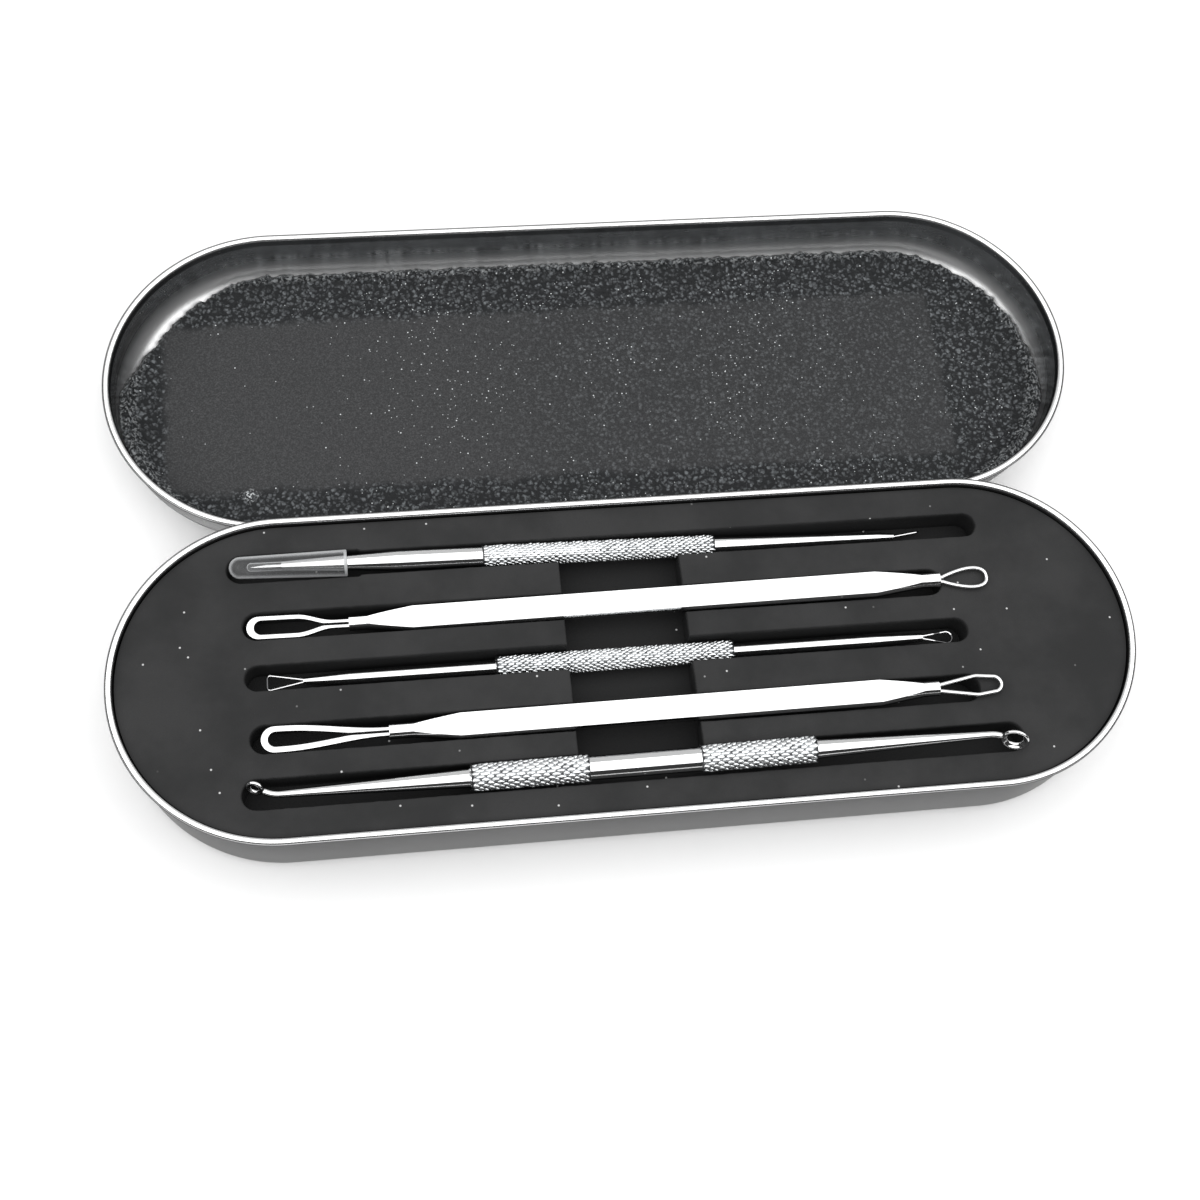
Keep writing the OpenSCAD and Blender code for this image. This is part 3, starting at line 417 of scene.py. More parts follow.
def skin(rings, joined=False):
    """A skin over rings of equal length, open at its ends or joined end to start."""
    rings = np.asarray(rings, float)
    count, around = rings.shape[:2]
    faces = []
    for k in range(count if joined else count - 1):
        a, b = k * around, (k + 1) % count * around
        faces += [[a + i, a + (i + 1) % around, b + (i + 1) % around, b + i] for i in range(around)]
    return rings.reshape(-1, 3), faces


def closed(rings, first_pole=None, last_pole=None):
    """A skin over rings, closed by a pole or a face at each end."""
    points, faces = skin(rings)
    around, total = len(rings[0]), len(points)
    points = [points]
    for pole, base, turn in ((first_pole, 0, True), (last_pole, total - around, False)):
        if pole is None:
            face = list(range(base, base + around))
            faces.append(face[::-1] if turn else face)
            continue
        points.append(np.array([pole], float))
        for i in range(around):
            j = (i + 1) % around
            faces.append([total, base + j, base + i] if turn else [total, base + i, base + j])
        total += 1
    return np.concatenate(points), faces


def turned(stations, around=64, start=None):
    """A turned rod along X, from pairs of position and radius."""
    angles = np.arange(around) * 2 * pi / around
    rings = [[(x, r * cos(a), r * sin(a)) for a in angles] for x, r in stations]
    return closed(rings, (start or stations[0][0], 0, 0), (stations[-1][0], 0, 0))


def softened(stations, edge=0.08):
    """Stations of a turned rod with its corners cut off by short steps."""
    done = [stations[0]]
    for before, here, after in zip(stations, stations[1:], stations[2:]):
        for other in (before, after):
            gap = hypot(other[0] - here[0], other[1] - here[1])
            share = min(edge, gap * 0.4) / gap
            done.append((here[0] + (other[0] - here[0]) * share, here[1] + (other[1] - here[1]) * share))
    return [*done, stations[-1]]


def tube(path, radius, around=20):
    """A round wire along a path in the level plane, with round ends."""
    path = np.asarray(path, float)
    path = path[[0] + [i for i in range(1, len(path)) if np.linalg.norm(path[i] - path[i - 1]) > 1e-5]]
    ways = np.gradient(path, axis=0)
    ways /= np.linalg.norm(ways, axis=1)[:, None]
    up = np.array([0, 0, 1.0])
    angles = np.arange(around) * 2 * pi / around
    rings = []
    for p, w in zip(path, ways):
        side = np.cross(up, w)
        rings.append([p + radius * (cos(a) * side + sin(a) * up) for a in angles])
    return closed(rings, path[0] - ways[0] * radius * 0.3, path[-1] + ways[-1] * radius * 0.3)


def bent(start, steps):
    """A path of straight steps, each a length, and of bends, each a radius and degrees to the left."""
    x, y = start
    angle = 0.0
    path = [(x, y, 0.0)]
    for step in steps:
        if len(step) == 1:
            x, y = x + step[0] * cos(angle), y + step[0] * sin(angle)
            path.append((x, y, 0.0))
            continue
        radius, turn = step[0], radians(step[1])
        sign = 1 if turn > 0 else -1
        cx, cy = x - sign * radius * sin(angle), y + sign * radius * cos(angle)
        count = max(3, int(abs(degrees(turn)) / 6))
        for i in range(1, count + 1):
            a = angle + turn * i / count
            path.append((cx + sign * radius * sin(a), cy - sign * radius * cos(a), 0.0))
        angle += turn
        x, y = path[-1][:2]
    return path


def loop_wire(half, wire):
    """A wire loop from one leg round to the other, from the path of its upper half."""
    return tube(half + [(x, -y, z) for x, y, z in half[::-1]], wire / 2)


def legged_wire(at, radius, heading=-90.0, rest=(), wire=FINE_WIRE, legs=FINE_LEGS, bend=FINE_BEND):
    """A loop whose legs lean out to a round at a place, turn there to a heading, and go on by the rest."""
    across = at[1] - legs / 2 - bend
    reach = hypot(at[0], across)
    lean = degrees(asin((radius + bend) / reach) + atan2(across, at[0]))
    run = sqrt(reach ** 2 - (radius + bend) ** 2)
    steps = [(LEG_IN,), (bend, lean), (run,), (radius, heading - lean), *rest]
    return loop_wire(bent((-LEG_IN, legs / 2), steps), wire)


def teardrop_wire(length, width):
    return legged_wire((length - width / 2, 0), (width - FINE_WIRE) / 2)


def triangle_wire(length, width, corner):
    half_width = (width - FINE_WIRE) / 2 - corner
    at = (length - FINE_WIRE / 2 - corner, half_width)
    return legged_wire(at, corner, rest=[(half_width,)])


def cornered_wire(length, width, corner_at, end_w, legs, corner):
    """A loop that is widest at two corners, and narrows from them to a round end."""
    radius = (end_w - LOOP_WIRE) / 2
    along_x, half_width = length - end_w / 2 - corner_at, (width - LOOP_WIRE) / 2 - corner
    reach = hypot(along_x, half_width)
    slope = degrees(asin((radius - corner) / reach) - atan2(half_width, along_x))
    rest = [(sqrt(reach ** 2 - (radius - corner) ** 2),), (radius, -90 - slope)]
    return legged_wire((corner_at, half_width), corner, slope, rest, LOOP_WIRE, legs, LOOP_BEND)


def egg_wire(length, width, legs, steps=60, fullness=0.35):
    """A loop whose sides bulge from its legs on, widest near its end."""
    reach, half_width = length - LOOP_WIRE / 2, (width - LOOP_WIRE) / 2
    half = [(-LEG_IN, legs / 2, 0.0)]
    for k in range(steps + 1):
        u = (1 - cos(pi * k / steps)) / 2
        least = legs / 2 if u < 0.5 else 0
        half.append((reach * u, max(half_width * sin(pi * u * u) ** fullness, least), 0.0))
    return loop_wire(half, LOOP_WIRE)


def ribbon(length, wide, neck, flare, side_w, end_w, bend):
    """A flat loop cut from ribbon with softened edges, from one strand's root round to the other's."""
    gap = RIBBON_ROOT / 5
    full, hole_r = length - wide / 2, wide / 2 - side_w
    hole_end = length - end_w - hole_r
    pairs = []
    for x in [-LEG_IN, *np.linspace(0, neck, 4)[:-1], *np.linspace(neck, neck + flare, 24)]:
        t = min(max((x - neck) / flare, 0), 1)
        out = (RIBBON_ROOT + (wide - RIBBON_ROOT) * (1 - cos(pi * t)) / 2) / 2
        pairs.append(((x, out), (x, max(out - side_w, gap / 2))))
    for t in np.linspace(0, 1, 6)[1:-1]:
        pairs.append(((neck + flare + (full - neck - flare) * t, wide / 2),
                      (neck + flare + (hole_end - neck - flare) * t, hole_r)))
    for a in np.linspace(90, 0, 16):
        c, s = cos(radians(a)), sin(radians(a))
        pairs.append(((full + wide / 2 * c, wide / 2 * s), (hole_end + hole_r * c, hole_r * s)))
    pairs += [((a[0], -a[1]), (b[0], -b[1])) for a, b in pairs[-2::-1]]
    rings = []
    for a, b in pairs:
        a, b = np.array(a), np.array(b)
        middle, half = (a + b) / 2, np.linalg.norm(a - b) / 2
        out = (a - b) / (2 * half)
        soft = min(RIBBON_EDGE, half * 0.8)
        ring = []
        for sx, sz, start in ((1, 1, 0), (-1, 1, 90), (-1, -1, 180), (1, -1, 270)):
            for k in range(4):
                turn = radians(start + 30 * k)
                x, y = middle + out * (sx * (half - soft) + soft * cos(turn))
                z = sz * (RIBBON_T / 2 - soft) + soft * sin(turn)
                ring.append((x, y, z + max(x, 0) * tan(radians(bend))))
        rings.append(ring)
    points, faces = closed(rings)
    return points, [f[::-1] for f in faces]


def flat_bar(half, back_taper, back_neck, front_taper, front_neck):
    """A turned bar with two flats, whose edges run to a point along each taper."""
    neck_r, flat = BAR_NECK_D / 2, BAR_T / 2
    shares = np.linspace(0, 1, 24)
    stations = [(-half - back_taper - back_neck, neck_r)]
    stations += [(-half - back_taper * (1 - t), neck_r + (BAR_R - neck_r) * t) for t in shares]
    stations += [(half + front_taper * t, BAR_R + (neck_r - BAR_R) * t) for t in shares]
    stations += [(half + front_taper + front_neck, neck_r)]
    rings = []
    for x, r in stations:
        edge = asin(min(flat / r, 1))
        ring = []
        for side, centre in ((1, 0), (-1, pi)):
            arc = [centre + edge * t for t in np.linspace(-1, 1, 15)]
            ring += [(x, r * cos(a), r * sin(a)) for a in arc]
            y, z = side * r * cos(edge), side * min(flat, r)
            ring += [(x, y - 2 * y * t, z) for t in np.linspace(0, 1, 7)[1:-1]]
        rings.append(ring)
    return closed(rings, (stations[0][0], 0, 0), (stations[-1][0], 0, 0))


def eye(outer_d, hole_d, dish_r=3.2, thick=0.6, around=48):
    """A small dished eye with a hole and round edges, whose edge starts at the origin."""
    sink = sqrt(dish_r ** 2 - (outer_d / 2) ** 2)
    middle_r = dish_r - thick / 2
    low = asin((hole_d / 2 + thick / 2) / middle_r)
    high = asin((outer_d / 2 - thick / 2) / middle_r)
    section = []
    for way, radius in ((1, dish_r), (-1, dish_r - thick)):
        spread = np.linspace(low, high, 10)[::way]
        section += [(radius * sin(a), -radius * cos(a)) for a in spread]
        cx, cy = middle_r * sin(spread[-1]), -middle_r * cos(spread[-1])
        start = atan2(section[-1][1] - cy, section[-1][0] - cx)
        section += [(cx + thick / 2 * cos(start + t), cy + thick / 2 * sin(start + t))
                    for t in np.linspace(0, pi, 8)[1:-1]]
    rings = [[(outer_d / 2 + r * cos(a), r * sin(a), sink + z) for r, z in section]
             for a in np.arange(around) * 2 * pi / around]
    return skin(rings, joined=True)


def bent_eye(roll, bend, turn, outer_d, hole_d, radius=5.0, neck_r=0.55):
    """A round neck that bends off the end of a rod, with an eye turned about its own length."""
    path = [(radius * sin(radians(a)), radius * (1 - cos(radians(a))), 0.0)
            for a in np.linspace(0, bend, 9)]
    neck = moved(tube(path, neck_r, 32), spin(90, "X"))
    at_end = Matrix.Translation((path[-1][0], 0, path[-1][1])) @ spin(-bend, "Y")
    joint = moved(turned([(-0.5, 0.25), (-0.4, 0.38), (0, neck_r), (0.4, 0.38), (0.5, 0.25)], 32), at_end)
    ring = moved(eye(outer_d, hole_d), at_end @ spin(turn, "X"))
    return moved(merged(neck, joint, ring), spin(roll, "X"))


def oval(arc=72, straight=2):
    """Points round the tin's middle line with the outward way at each: straight sides and round ends."""
    found = []
    for side, start in ((1, -90), (-1, 90)):
        for k in range(arc + 1):
            a = radians(start + 180 * k / arc)
            found.append((side * SIDE_HALF, 0.0, cos(a), sin(a)))
        for k in range(1, straight):
            found.append((side * SIDE_HALF * (1 - 2 * k / straight), 0.0, 0.0, float(side)))
    return found


def from_middle(x, y):
    """How far a place is from the tin's middle line."""
    return hypot(max(abs(x) - SIDE_HALF, 0), y)


def swept(section):
    """A closed section of distance and height, swept round the tin's outline."""
    rings = [[(x + nx * r, y + ny * r, z) for r, z in section] for x, y, nx, ny in oval()]
    points, faces = skin(rings, joined=True)
    return points, [f[::-1] for f in faces]


def arc_points(centre, radius, start, end, count):
    return [(centre[0] + radius * cos(radians(a)), centre[1] + radius * sin(radians(a)))
            for a in np.linspace(start, end, count)]


def base_section():
    """From the middle of the floor's underside, out, up the wall, round the bead and back down inside."""
    outer, corner, bead_z = BASE_IN + TIN_T, BASE_CORNER, BASE_H - BEAD_R
    path = [(0, 0)] + arc_points((outer - corner, corner), corner, -90, 0, 8)
    path += [(outer + out, bead_z - BEAD_R * share) for out, share in TUCK]
    path += arc_points((BASE_IN + BEAD_R, bead_z), BEAD_R, -105, 180, 26)
    path += arc_points((BASE_IN - corner + TIN_T, corner), corner - TIN_T, 0, -90, 8)
    return path + [(0, TIN_T)]


def lid_section():
    """The closed lid's section, from the middle of its underside out to its bead and back over the top."""
    outer, corner, corner_z = LID_IN + TIN_T, LID_CORNER, CLOSED_H - LID_CORNER
    path = [(0, CLOSED_H - TIN_T)]
    path += arc_points((LID_IN - corner + TIN_T, corner_z), corner - TIN_T, 90, 0, 14)
    path += arc_points((LID_IN + BEAD_R, HINGE_Z), BEAD_R, -180, 105, 26)
    path += [(outer + out, HINGE_Z + BEAD_R * share) for out, share in TUCK[::-1]]
    path += arc_points((outer - corner, corner_z), corner, 0, 90, 14)
    return path + [(0, CLOSED_H)]


def opened(part):
    """Turns what is drawn closed about the hinge, so that it lies open."""
    points, faces = part
    points = np.array(points)
    points[:, 1] = 2 * HINGE_Y - points[:, 1]
    points[:, 2] = 2 * HINGE_Z - points[:, 2]
    return points, faces


def hinge_blocks(half, low, high):
    """A block at each tongue, to cut with, from its half width and two opposite corners."""
    blocks = []
    for x in (-HINGE_X, HINGE_X):
        points = [(x + side, y, z) for z in (low[1], high[1]) for y in (low[0], high[0])
                  for side in (-half, half)]
        blocks.append((points, [[0, 2, 3, 1], [4, 5, 7, 6], [0, 1, 5, 4], [2, 6, 7, 3], [0, 4, 6, 2],
                                [1, 3, 7, 5]]))
    return merged(*blocks)


def tongue(x):
    """A hinge tongue: a strip out of the wall, over the lid's bead and curled down round it."""
    inner, outer = BEAD_R + CURL_CLEAR, BEAD_R + CURL_CLEAR + TIN_T
    start = BASE_IN + TIN_T / 2
    under = [(start, HINGE_Z + inner)] + arc_points((HINGE_Y, HINGE_Z), inner, 90, 90 - CURL_ANGLE, 20)
    over = arc_points((HINGE_Y, HINGE_Z), outer, 90 - CURL_ANGLE, 90, 20) + [(start, HINGE_Z + outer)]
    return closed([[(x + side * TONGUE_W / 2, y, z) for y, z in under + over] for side in (-1, 1)])


def smoothed(mesh, angle):
    """Shades a mesh smooth, but for edges sharper than the angle."""
    mesh.polygons.foreach_set("use_smooth", [True] * len(mesh.polygons))
    mesh.set_sharp_from_angle(angle=radians(angle))


def added(name, data):
    made = bpy.data.objects.new(name, data)
    bpy.context.scene.collection.objects.link(made)
    return made


def plain(name, part, angle=40, weld=0.0005):
    """A mesh object from a shape, with welded points and outward faces."""
    points, faces = part
    mesh = bpy.data.meshes.new(name)
    mesh.from_pydata((np.asarray(points) * MM).tolist(), [], faces)
    work = bmesh.new()
    work.from_mesh(mesh)
    bmesh.ops.remove_doubles(work, verts=work.verts, dist=weld * MM)
    bmesh.ops.dissolve_degenerate(work, edges=work.edges, dist=weld * MM / 2)
    bmesh.ops.recalc_face_normals(work, faces=work.faces)
    work.to_mesh(mesh)
    work.free()
    smoothed(mesh, angle)
    return added(name, mesh)


def finished(made, materials, slot, body, *nodes):
    """Gives a piece its materials and body, and hides the CAD nodes that it stands for. The slot argument is
    not used.
    """
    made.data.materials.clear()
    for material in materials:
        made.data.materials.append(material)
    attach(made, body)
    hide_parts(*nodes)


def baked(made):
    """Makes an object's modifiers part of its mesh."""
    graph = bpy.context.evaluated_depsgraph_get()
    mesh = bpy.data.meshes.new_from_object(made.evaluated_get(graph))
    made.modifiers.clear()
    made.data = mesh


def foam_piece(name, part, material, slot, body, node, angle, weld=0.0005):
    made = plain(name, part, angle, weld)
    finished(made, [material], slot, body, node)


def cut_away(made, cutter_part):
    """Takes a shape out of a mesh object."""
    cutter = plain(made.name + "_cutter", cutter_part)
    change = made.modifiers.new("cut", "BOOLEAN")
    change.operation, change.solver, change.object = "DIFFERENCE", "EXACT", cutter
    baked(made)
    bpy.data.objects.remove(cutter)
    smoothed(made.data, 40)


def base_tin():
    shell = plain("base_tin_shell", swept(base_section()))
    top = HINGE_Z + BEAD_R + CURL_CLEAR
    cut_away(shell, hinge_blocks(TONGUE_W / 2, (BASE_IN - 1, top - WINDOW_H), (BASE_IN + 1, top)))
    finished(shell, [TIN], "tinplate", "base", "base_tin")
    tongues = plain("hinge_tongues", merged(tongue(-HINGE_X), tongue(HINGE_X)))
    finished(tongues, [TIN], "tinplate", "base")


def lid_tin():
    shell = plain("lid_tin_shell", opened(swept(lid_section())))
    low, high = HINGE_Z - LID_SLOT_H - BEAD_R, HINGE_Z - BEAD_R * 0.8
    near = 2 * HINGE_Y - LID_IN
    cut_away(shell, hinge_blocks(TONGUE_W / 2 + LID_SLOT_ROOM, (near - 1, low), (near + 1, high)))
    finished(shell, [TIN], "tinplate", "lid", "lid_tin")


def slot_outline():
    """The one loop that the five slots and the finger trench make together, anticlockwise."""
    loop = []
    trench_right = TRENCH_MIDDLE + TRENCH_W / 2
    for tool, wide, _, right in SLOTS:
        y, r = tool["place"][1], wide / 2
        loop += [(trench_right, y - r), *arc_points((right - r, y), r, -90, 90, 20), (trench_right, y + r)]
    trench_left = TRENCH_MIDDLE - TRENCH_W / 2
    for tool, wide, left, _ in SLOTS[::-1]:
        y, r = tool["place"][1], wide / 2
        end_r = CAP_SLOT_W / 2 if tool is LANCET else r
        widening = [(CAP_SLOT_X, r), (CAP_SLOT_X - 0.4, end_r)] if tool is LANCET else []
        loop += [(trench_left, y + r), *[(x, y + out) for x, out in widening]]
        loop += arc_points((left + end_r, y), end_r, 90, 270, 20)
        loop += [*[(x, y - out) for x, out in widening[::-1]], (trench_left, y - r)]
    return loop


def spaced(loop, step):
    """A closed loop of points no further apart than the step."""
    done = []
    for a, b in zip(loop, loop[1:] + loop[:1]):
        gap = hypot(b[0] - a[0], b[1] - a[1])
        if gap < 1e-6:
            continue
        count = max(1, int(ceil(gap / step)))
        done += [(a[0] + (b[0] - a[0]) * k / count, a[1] + (b[1] - a[1]) * k / count) for k in range(count)]
    return np.array(done)


def outward(loop):
    """Unit ways out of an anticlockwise loop, at each of its points."""
    way = np.roll(loop, -1, 0) - np.roll(loop, 1, 0)
    way /= np.linalg.norm(way, axis=1)[:, None]
    return np.stack([way[:, 1], -way[:, 0]], 1)


def bumpy(places, scale, layer):
    """Smooth random numbers at places in the level plane, about -1 to 1."""
    return np.array([noise.noise(Vector((x * scale, y * scale, layer))) for x, y in places])


def staggered(x_end, y_end, x_step, y_step):
    """Places in staggered rows about the middle of the tin."""
    for row, y in enumerate(np.arange(-y_end, y_end + 0.1, y_step)):
        for x in np.arange(-x_end, x_end + 0.1, x_step):
            yield x + row % 2 * x_step / 2, y


def filled(loops, between, kind):
    """Fills loops with triangles: their places, their faces, and which places are on a loop."""
    edges, start = [], 0
    for loop in loops:
        edges += [(start + i, start + (i + 1) % len(loop)) for i in range(len(loop))]
        start += len(loop)
    given = [Vector(p[:2]) for places in (*loops, between) for p in places]
    places, _, faces, origins = delaunay_2d_cdt(given, edges, [], kind, 1e-5)[:4]
    return places, faces, [any(o < start for o in origin) for origin in origins]


def inside_test(path):
    """A test of whether a place lies inside a closed path."""
    a = np.array(path)
    b = np.roll(a, -1, 0)
    rise = np.where(b[:, 1] == a[:, 1], 1e-12, b[:, 1] - a[:, 1])

    def test(x, y):
        crosses = (a[:, 1] > y) != (b[:, 1] > y)
        at = a[:, 0] + (y - a[:, 1]) * (b[:, 0] - a[:, 0]) / rise
        return bool(np.count_nonzero(crosses & (at > x)) % 2)

    return test


def tray_faces(rim, outer, between=()):
    """Fills between the slots' rim and the tray's outline."""
    places, faces, on_edge = filled((rim, outer), between, 0)
    in_slot = inside_test(rim)
    kept = []
    for face in faces:
        x, y = (sum(places[i][axis] for i in face) / len(face) for axis in (0, 1))
        if from_middle(x, y) < TRAY_R + 0.01 and not in_slot(x, y):
            kept.append(face)
    return places, kept, on_edge


def tray_layer():
    """Cut layer of the tray: a flat top with soft edges round the slots, and walls down to the slot floor."""
    inner = spaced(slot_outline(), 0.6)
    way = outward(inner)
    outer = spaced([(x + nx * TRAY_R, y + ny * TRAY_R) for x, y, nx, ny in oval(96, 60)], 3.0)
    rings = []
    for out, down, rag in SLOT_WALL:
        z = TRAY_TOP - down
        off = out + bumpy(inner, 0.9, z * 0.9 + 3.1) * rag
        rings.append([(x, y, z) for x, y in inner + way * off[:, None]])
    rim, low_rim = (np.array(ring)[:, :2] for ring in (rings[0], rings[-1]))
    between = [(x, y) for x, y in staggered(84, 26, 2.2, 1.9) if from_middle(x, y) < TRAY_R - 1.2
               and np.min(np.hypot(rim[:, 0] - x, rim[:, 1] - y)) > 0.8]
    places, top, on_edge = tray_faces(rim, outer, between)
    # The top is a little uneven, but not at its edges.
    swell = np.minimum(0.05 * bumpy([(p.x, p.y) for p in places], 0.12, 1.7), 0)
    high = [(p.x, p.y, TRAY_TOP + (0 if fixed else s)) for p, s, fixed in zip(places, swell, on_edge)]
    side = skin([[(x, y, z) for x, y in outer] for z in (CUT_FLOOR, TRAY_TOP)])
    places, under, _ = tray_faces(low_rim, outer)
    low = [(p.x, p.y, CUT_FLOOR) for p in places]
    part = merged(skin(rings), (high, top), side, (low, [f[::-1] for f in under]))
    foam_piece("tray_layer", part, FOAM, "tray_foam", "base", "tray_foam", 60, weld=0.002)


def tray_block():
    """The uncut foam below the slots."""
    corner = BASE_CORNER - TIN_T - FOAM_GAP
    low, high = TIN_T + FOAM_GAP, CUT_FLOOR - FOAM_GAP / 2
    path = [(0, low)] + arc_points((TRAY_R - corner, low + corner), corner, -90, 0, 6)
    path += [(TRAY_R, high), (0, high)]
    foam_piece("tray_block", swept(path), FOAM, "tray_foam", "base", "tray_backing", 60)


def lid_sheet():
    """Sponge sheet in the lid, whose ragged edge is pressed up the lid's round corner."""
    low = TIN_T + FOAM_GAP
    corner = LID_CORNER - low
    centre = LID_IN - FOAM_GAP - corner
    most_high = CLOSED_H - BASE_H - FOAM_GAP
    path = np.array(oval(200, 240))
    place = path[:, :2] + path[:, 2:] * LID_IN
    keep = [i for i in range(len(path)) if np.linalg.norm(place[i] - place[i - 1]) > 1e-6]
    middle, ways, place = path[keep, :2], path[keep, 2:], place[keep]
    heading = (np.degrees(np.arctan2(ways[:, 1], ways[:, 0])) + 90.5) % 360 - 90.5
    rough = 5.0 * bumpy(place, 0.5, 4.0) + 4.0 * bumpy(place, 1.9, 8.0)
    climb = np.minimum(np.interp(heading, EDGE_WAYS, EDGE_CLIMB) + rough, EDGE_CLIMB_MOST)

    def ring(depth, share, bristle=0.0):
        """Points at a depth below the sheet's underside, at a share of the way up to its edge."""
        angle = np.radians(climb * share)
        radius = corner - depth
        sharp = bristle * np.abs(bumpy(place, 2.3, depth))
        out = centre + radius * np.sin(angle) - 0.4 * sharp
        high = np.minimum(low + corner - radius * np.cos(angle) + sharp, most_high)
        flat = middle + ways * out[:, None]
        lumps = 0.12 * np.abs(bumpy(flat, 1.3, 2.0)) if depth == LID_FOAM_T and share else 0.0
        return np.column_stack([flat, high - lumps])

    shares = np.linspace(0, 1, 7)
    rings = [ring(0.0, t) for t in shares]
    rings += [ring(0.35 * LID_FOAM_T, 1.02), ring(0.75 * LID_FOAM_T, 1.0, 0.3)]
    rings += [ring(LID_FOAM_T, t, 0.45 if t > 0.97 else 0.0) for t in shares[::-1]]
    between = [(x, y) for x, y in staggered(80, 22, 0.7, 0.62) if from_middle(x, y) < centre - 0.7]
    places, upper, _ = filled((rings[-1],), between, 1)
    high = []
    for p in places:
        grain = 0.06 * abs(noise.noise(Vector((p.x * 0.8, p.y * 0.8, 5.0))))
        inside = centre - from_middle(p.x, p.y)
        high.append((p.x, p.y, low + LID_FOAM_T - grain * min(max(inside, 0), 1)))
    places, under, _ = filled((rings[0],), (), 1)
    flat = [(p.x, p.y, low) for p in places]
    points, faces = merged(skin(rings), (high, upper), (flat, [f[::-1] for f in under]))
    part = points + (0, 2 * HINGE_Y, 0), faces
    foam_piece("lid_sheet", part, SPONGE, "lid_sponge", "lid", "lid_foam", 180, weld=0.02)


def knurl_tree():
    """Pads in staggered rows on a cylinder along X. Each pad faces away from the cylinder's axis."""
    tree = bpy.data.node_groups.new("knurl", "GeometryNodeTree")
    g = Maker(tree)
    ids = {name: tree.interface.new_socket(name, in_out="INPUT", socket_type="NodeSocket" + kind).identifier
           for name, kind in (("Geometry", "Geometry"), ("Radius", "Float"), ("Start", "Float"),
                              ("Pitch", "Float"), ("Along", "Int"), ("Around", "Int"), ("Pad", "Object"),
                              ("Material", "Material"))}
    tree.interface.new_socket("Geometry", in_out="OUTPUT", socket_type="NodeSocketGeometry")
    given = tree.nodes.new("NodeGroupInput").outputs
    radius, start, pitch, along, around, pad, material = (Value(g, given[name]) for name in list(ids)[1:])
    grid = g.node("GeometryNodeMeshGrid", {"Vertices X": along, "Vertices Y": around}, "Mesh")
    index = g.node("GeometryNodeInputIndex", {})
    row = g.maths("FLOOR", index / around)
    angle = (index % around + row % 2.0 * 0.5) * (2 * pi / around)
    y, z = g.maths("COSINE", angle) * radius, g.maths("SINE", angle) * radius
    spot = g.node("ShaderNodeCombineXYZ", {"X": start + row * pitch, "Y": y, "Z": z})
    placed = g.node("GeometryNodeSetPosition", {"Geometry": grid, "Position": spot})
    out = g.node("ShaderNodeCombineXYZ", {"Y": y, "Z": z})
    facing = g.node("FunctionNodeAlignRotationToVector", {"Vector": out}, axis="Z", pivot_axis="X")
    shape = g.node("GeometryNodeObjectInfo", {"Object": pad, "As Instance": True}, "Geometry")
    sizes = {"Min": (0.72, 0.74, 0.6), "Max": (1.12, 1.08, 1.0), "Seed": SEED}
    size = g.node("FunctionNodeRandomValue", sizes, "Value", data_type="FLOAT_VECTOR")
    pads = g.node("GeometryNodeInstanceOnPoints",
                  {"Points": placed, "Instance": shape, "Rotation": facing, "Scale": size})
    real = g.node("GeometryNodeRealizeInstances", {"Geometry": pads})
    coated = g.node("GeometryNodeSetMaterial", {"Geometry": real, "Material": material})
    g.feed(tree.nodes.new("NodeGroupOutput").inputs["Geometry"], coated)
    return tree, ids


def knurl_pad(length, width, height, power=1.35, twist=0.9, foot=-0.12):
    """A low pad with a diamond foot and a small flat top, leaning like a scale."""
    rings = []
    for scale, z in ((1.0, foot), (0.93, 0.0), (0.74, height * 0.6), (0.42, height * 0.95)):
        ring = []
        for k in range(12):
            a = 2 * pi * k / 12
            c, s = cos(a), sin(a)
            norm = (abs(c) ** power + abs(s) ** power) ** (1 / power)
            ring.append((length / 2 * scale * c / norm + twist * z, width / 2 * scale * s / norm, z))
        rings.append(ring)
    return closed(rings, (0, 0, foot), (twist * height, 0, height))


def knurled_grip(node, tool, start, length=GRIP_L, diameter=GRIP_D, around=13, pitch=0.62, deep=0.3):
    """A sleeve with a dull smooth core, dark with painted shade, and bright pads all over it."""
    name, end = node + "_knurled", start + length
    core = diameter / 2 - deep
    along = int(length / pitch)
    lead = start + (length - (along - 1) * pitch) / 2
    pad = plain(name + "_pad", knurl_pad(pitch * 1.95, 2 * pi * core / around * 0.98, deep), angle=180)
    pads = plain(name + "_pads", ([(0, 0, 0)], []))
    change = pads.modifiers.new("knurl", "NODES")
    change.node_group = KNURL
    for key, given in (("Radius", core * MM), ("Start", lead * MM), ("Pitch", pitch * MM), ("Along", along),
                       ("Around", around), ("Pad", pad), ("Material", PAD_STEEL)):
        change[KNURL_IDS[key]] = given
    baked(pads)
    # The core's collars: a chamfer at each end, and the step down to the grooves.
    inner, lip, collar = core - 0.35, core + deep - 0.16, core + deep - 0.06
    made = plain(name, turned([
        (start, inner), (start, lip), (start + 0.12, collar), (start + 0.3, core),
        (end - 0.3, core), (end - 0.12, collar), (end, lip), (end, inner)], 72))
    in_groove = [int(start + 0.2 < f.center.x / MM < end - 0.2) for f in made.data.polygons]
    work = bmesh.new()
    work.from_mesh(made.data)
    work.from_mesh(pads.data)
    for step in (Matrix.Scale(1 / MM, 4), laid(tool), Matrix.Scale(MM, 4)):
        work.transform(step)
    work.to_mesh(made.data)
    work.free()
    for used in (pad, pads):
        bpy.data.objects.remove(used)
    smoothed(made.data, 55)
    finished(made, [PAD_STEEL, GROOVE_PAINTED_SHADE], "knurled_steel", tool["body"], node)
    # The core's faces come first, and those between its collars take the grooves' painted shade. The pads'
    # come after them, and are all bright.
    in_groove += [0] * (len(made.data.polygons) - len(in_groove))
    made.data.polygons.foreach_set("material_index", in_groove)


